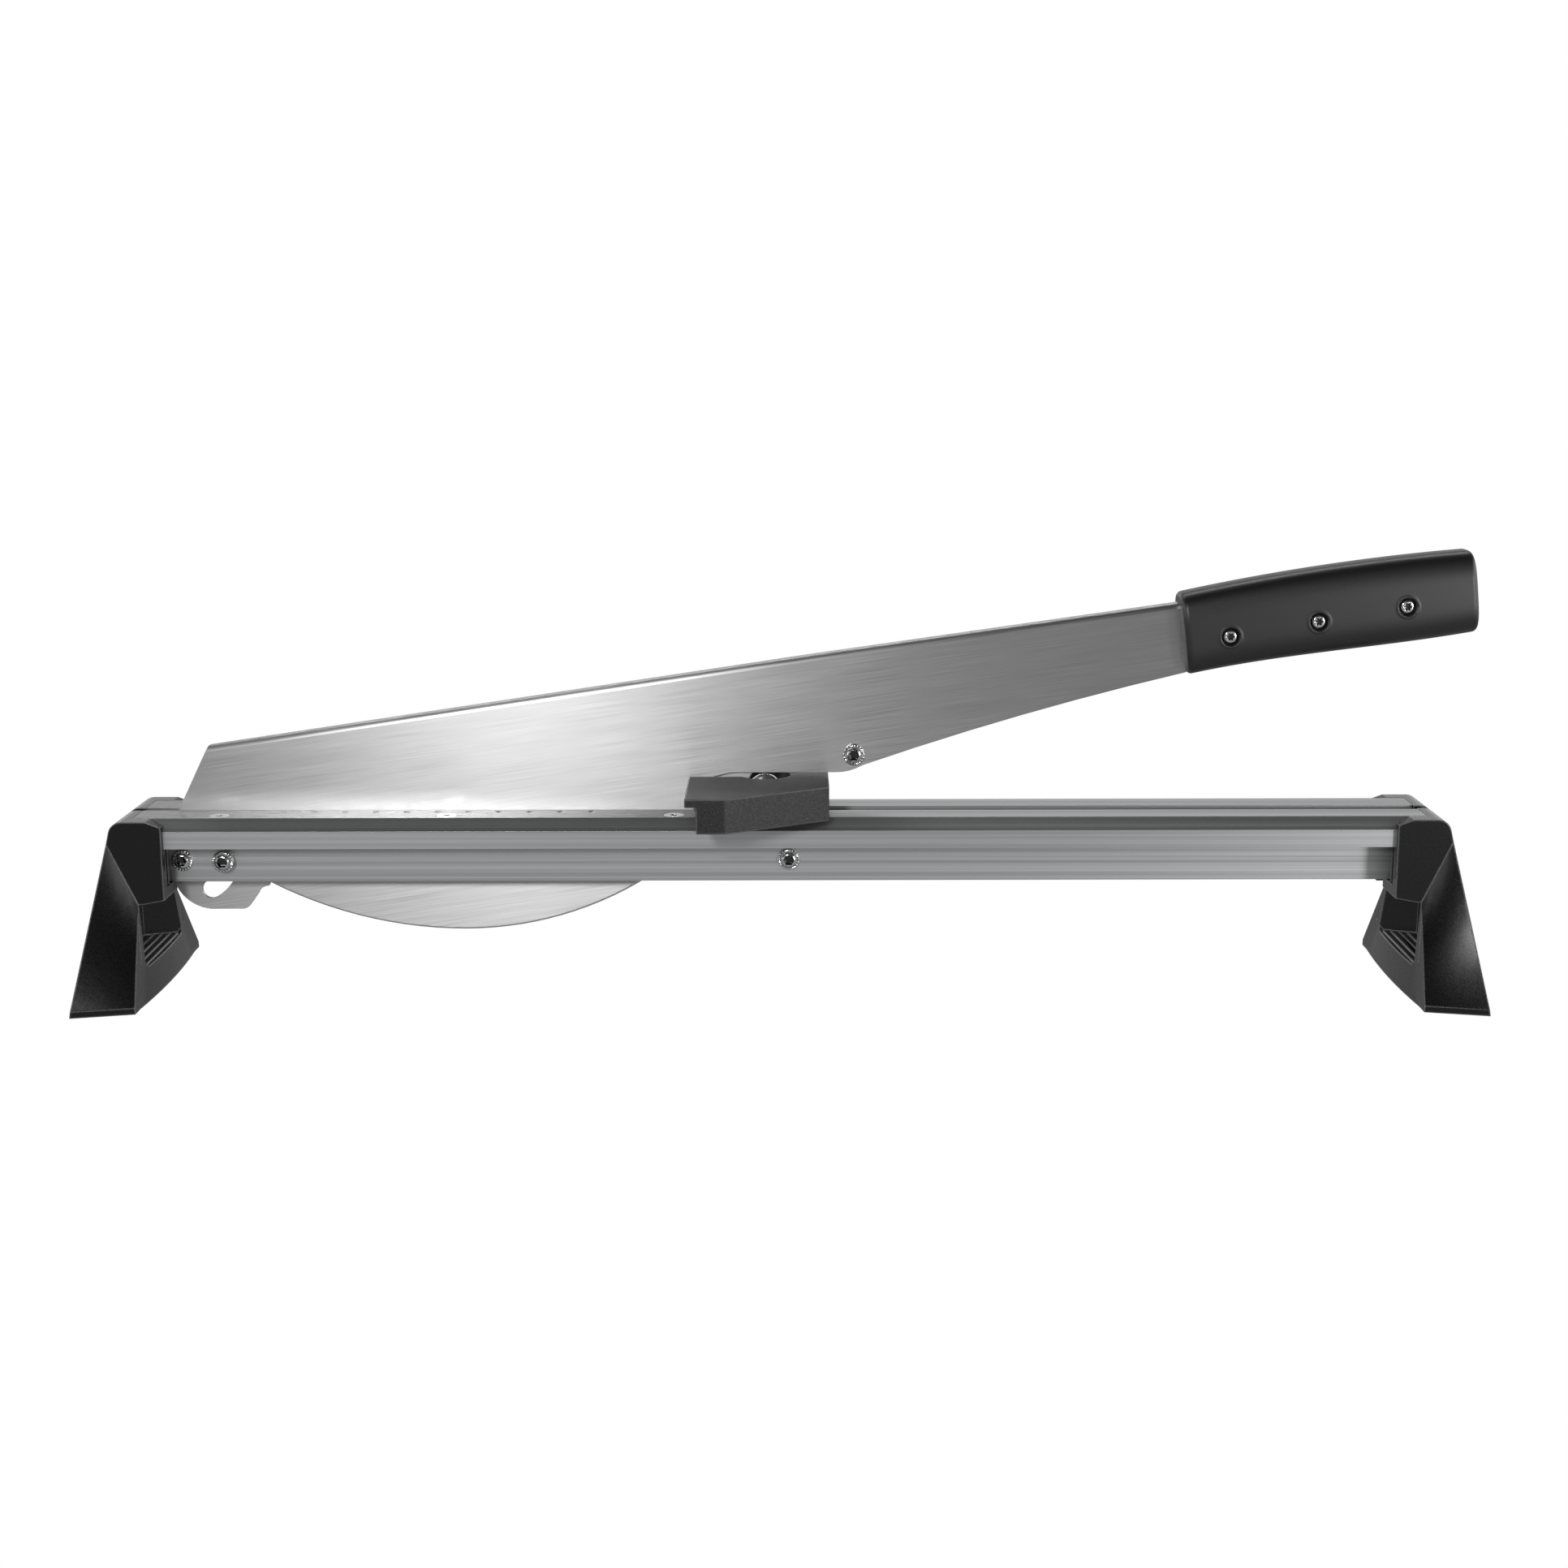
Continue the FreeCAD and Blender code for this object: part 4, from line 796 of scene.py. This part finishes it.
@dataclass
class StopScrew(SubAssembly):
    """Fixed screw, pillar and slot nut that the fence turns on."""

    def build(self) -> None:
        """Build the screw stack."""
        zinc = BrightZinc("bright zinc, stop screw").build()
        self.dress(eased_copy("stop_screw", "domed_stop_screw", 0.25), zinc, "zinc_steel", "stop_screw")
        self.keep("stop_pillar", zinc)
        self.keep("slot_nut", zinc)


# ---------------------------------------------------------------- studio
@dataclass(frozen=True)
class SoftBox:
    """Rectangular soft box that the camera doesn't see."""

    name: str
    place: tuple[float, float, float]
    aim: tuple[float, float, float]
    size: tuple[float, float]
    watts: float

    def hang(self) -> None:
        """Link the light into the scene, turned towards its aim."""
        data = bpy.data.lights.new(self.name, "AREA")
        data.shape = "RECTANGLE"
        data.size, data.size_y = self.size
        data.energy = self.watts
        light = bpy.data.objects.new(self.name, data)
        light.location = self.place
        light.visible_camera = False
        light.rotation_euler = (Vector(self.aim) - Vector(self.place)).to_track_quat("-Z", "Y").to_euler()
        bpy.context.scene.collection.objects.link(light)


@dataclass
class Studio:
    """Pale floor, soft boxes and the camera."""

    floor_half: float = 30.0
    lens_mm: float = 52.17
    camera_place: tuple[float, float, float] = (0.0051, -1.0930, 0.32305)
    pitch: float = 0.20175
    yaw: float = -0.00257
    roll: float = -0.00257
    front_glow: float = 0.3
    back_glow: float = 1.9
    ceiling_glow: float = 0.06
    ceiling_rise: float = 0.5
    floor_glow: float = 0.36
    boxes: tuple[SoftBox, ...] = (
        SoftBox("key_box", (-0.46, -1.6, 0.75), (-0.13, 0.0, 0.1), (0.18, 0.3), 13.5),
        SoftBox("back_strip", (0.0, 0.7, 1.05), (0.0, 0.0, 0.1), (1.5, 0.12), 5.0),
        SoftBox("left_box", (-1.3, -0.2, 0.4), (0.0, 0.0, 0.1), (1.2, 0.7), 5.5),
        SoftBox("right_box", (1.3, -0.3, 0.4), (0.0, 0.0, 0.1), (1.2, 0.7), 8.5),
        SoftBox("right_front_strip", (0.98, -1.15, 0.14), (0.0, 0.0, 0.08), (0.22, 0.25), 6.0))

    def floor(self) -> None:
        """Lay a flat square floor at the height of the ground pads.

        It is plain white to look at, and a grey sweep in reflections.
        """
        side = np.linspace(-self.floor_half, self.floor_half, 9)
        east, north = np.meshgrid(side, side)
        points = np.stack([east, north, np.zeros_like(east)], axis=-1)
        piece = mesh_object("studio_floor", points, grid_faces(9, 9, False))
        material = bpy.data.materials.new("matt white studio floor")
        material.use_nodes = True
        tree = material.node_tree
        tree.nodes.clear()
        lit = add_node(tree, "ShaderNodeEmission", inputs={"Strength": self.floor_glow})
        seen = add_node(tree, "ShaderNodeEmission",
                        inputs={"Color": srgb("#ffffff"), "Strength": 1.0})
        path = add_node(tree, "ShaderNodeLightPath")
        mix = add_node(tree, "ShaderNodeMixShader", inputs={0: path.outputs["Is Camera Ray"],
                                                           1: lit.outputs[0], 2: seen.outputs[0]})
        add_node(tree, "ShaderNodeOutputMaterial", inputs={"Surface": mix.outputs[0]})
        piece.data.materials.append(material)

    def room(self) -> None:
        """Light the room: pale low down behind the tool, grey in front, dim overhead.

        At level sight the strength runs from front_glow to back_glow with the Y part of the sight
        line, and it falls to ceiling_glow above ceiling_rise, the sine of the elevation. The camera
        itself sees plain white.
        """
        world = bpy.data.worlds.new("studio room")
        world.use_nodes = True
        tree = world.node_tree
        tree.nodes.clear()
        sight = add_node(tree, "ShaderNodeTexCoord").outputs["Generated"]
        parts = add_node(tree, "ShaderNodeSeparateXYZ", inputs={0: sight})
        level = ramp(tree, parts.outputs["Y"], -0.5, 0.6, self.front_glow, self.back_glow)
        share = ramp(tree, parts.outputs["Z"], 0.0, self.ceiling_rise, 1.0, 0.0)
        glow = add_node(tree, "ShaderNodeMath", {"operation": "MULTIPLY_ADD"},
                        {0: level, 1: share, 2: self.ceiling_glow}).outputs[0]
        room = add_node(tree, "ShaderNodeBackground", inputs={"Strength": glow})
        seen = add_node(tree, "ShaderNodeBackground", inputs={"Color": srgb("#ffffff"), "Strength": 1.0})
        path = add_node(tree, "ShaderNodeLightPath")
        mix = add_node(tree, "ShaderNodeMixShader", inputs={0: path.outputs["Is Camera Ray"],
                                                           1: room.outputs[0], 2: seen.outputs[0]})
        add_node(tree, "ShaderNodeOutputWorld", inputs={"Surface": mix.outputs[0]})
        bpy.context.scene.world = world

    def lights(self) -> None:
        """Hang the soft boxes."""
        for box in self.boxes:
            box.hang()

    def camera(self) -> None:
        """Set up the camera: pitched down, with a slight turn and roll."""
        cos_p, sin_p = math.cos(self.pitch), math.sin(self.pitch)
        ahead = Vector((math.sin(self.yaw) * cos_p, math.cos(self.yaw) * cos_p, -sin_p))
        level = Vector((math.cos(self.yaw), -math.sin(self.yaw), 0.0))
        above = level.cross(ahead)
        right = level * math.cos(self.roll) + above * math.sin(self.roll)
        up = above * math.cos(self.roll) - level * math.sin(self.roll)
        turn = Matrix((right, up, -ahead)).transposed()
        data = bpy.data.cameras.new("portrait_camera")
        data.sensor_width = 36.0
        data.lens = self.lens_mm
        camera = bpy.data.objects.new("portrait_camera", data)
        camera.matrix_world = Matrix.Translation(self.camera_place) @ turn.to_4x4()
        bpy.context.scene.collection.objects.link(camera)
        bpy.context.scene.camera = camera

    def build(self) -> None:
        """Set up the whole studio."""
        self.floor()
        self.room()
        self.lights()
        self.camera()
        bpy.context.scene.view_settings.view_transform = "Standard"


def main() -> None:
    """Build every sub-assembly in order, then the studio."""
    logging.basicConfig(level=logging.INFO, format="%(name)s: %(message)s")
    groups = [Table(Body.BENCH), Feet(Body.BENCH), CrossBolts(Body.BENCH), StopScrew(Body.BENCH),
              Lever(Body.LEVER), SwivelStop(Body.STOP)]
    for group in groups:
        group.build()
        for piece in group.pieces:
            LOG.info("%s on %s, %d faces", piece.name, group.body.value, len(piece.data.polygons))
    Studio().build()


if __name__ == "__main__":
    main()
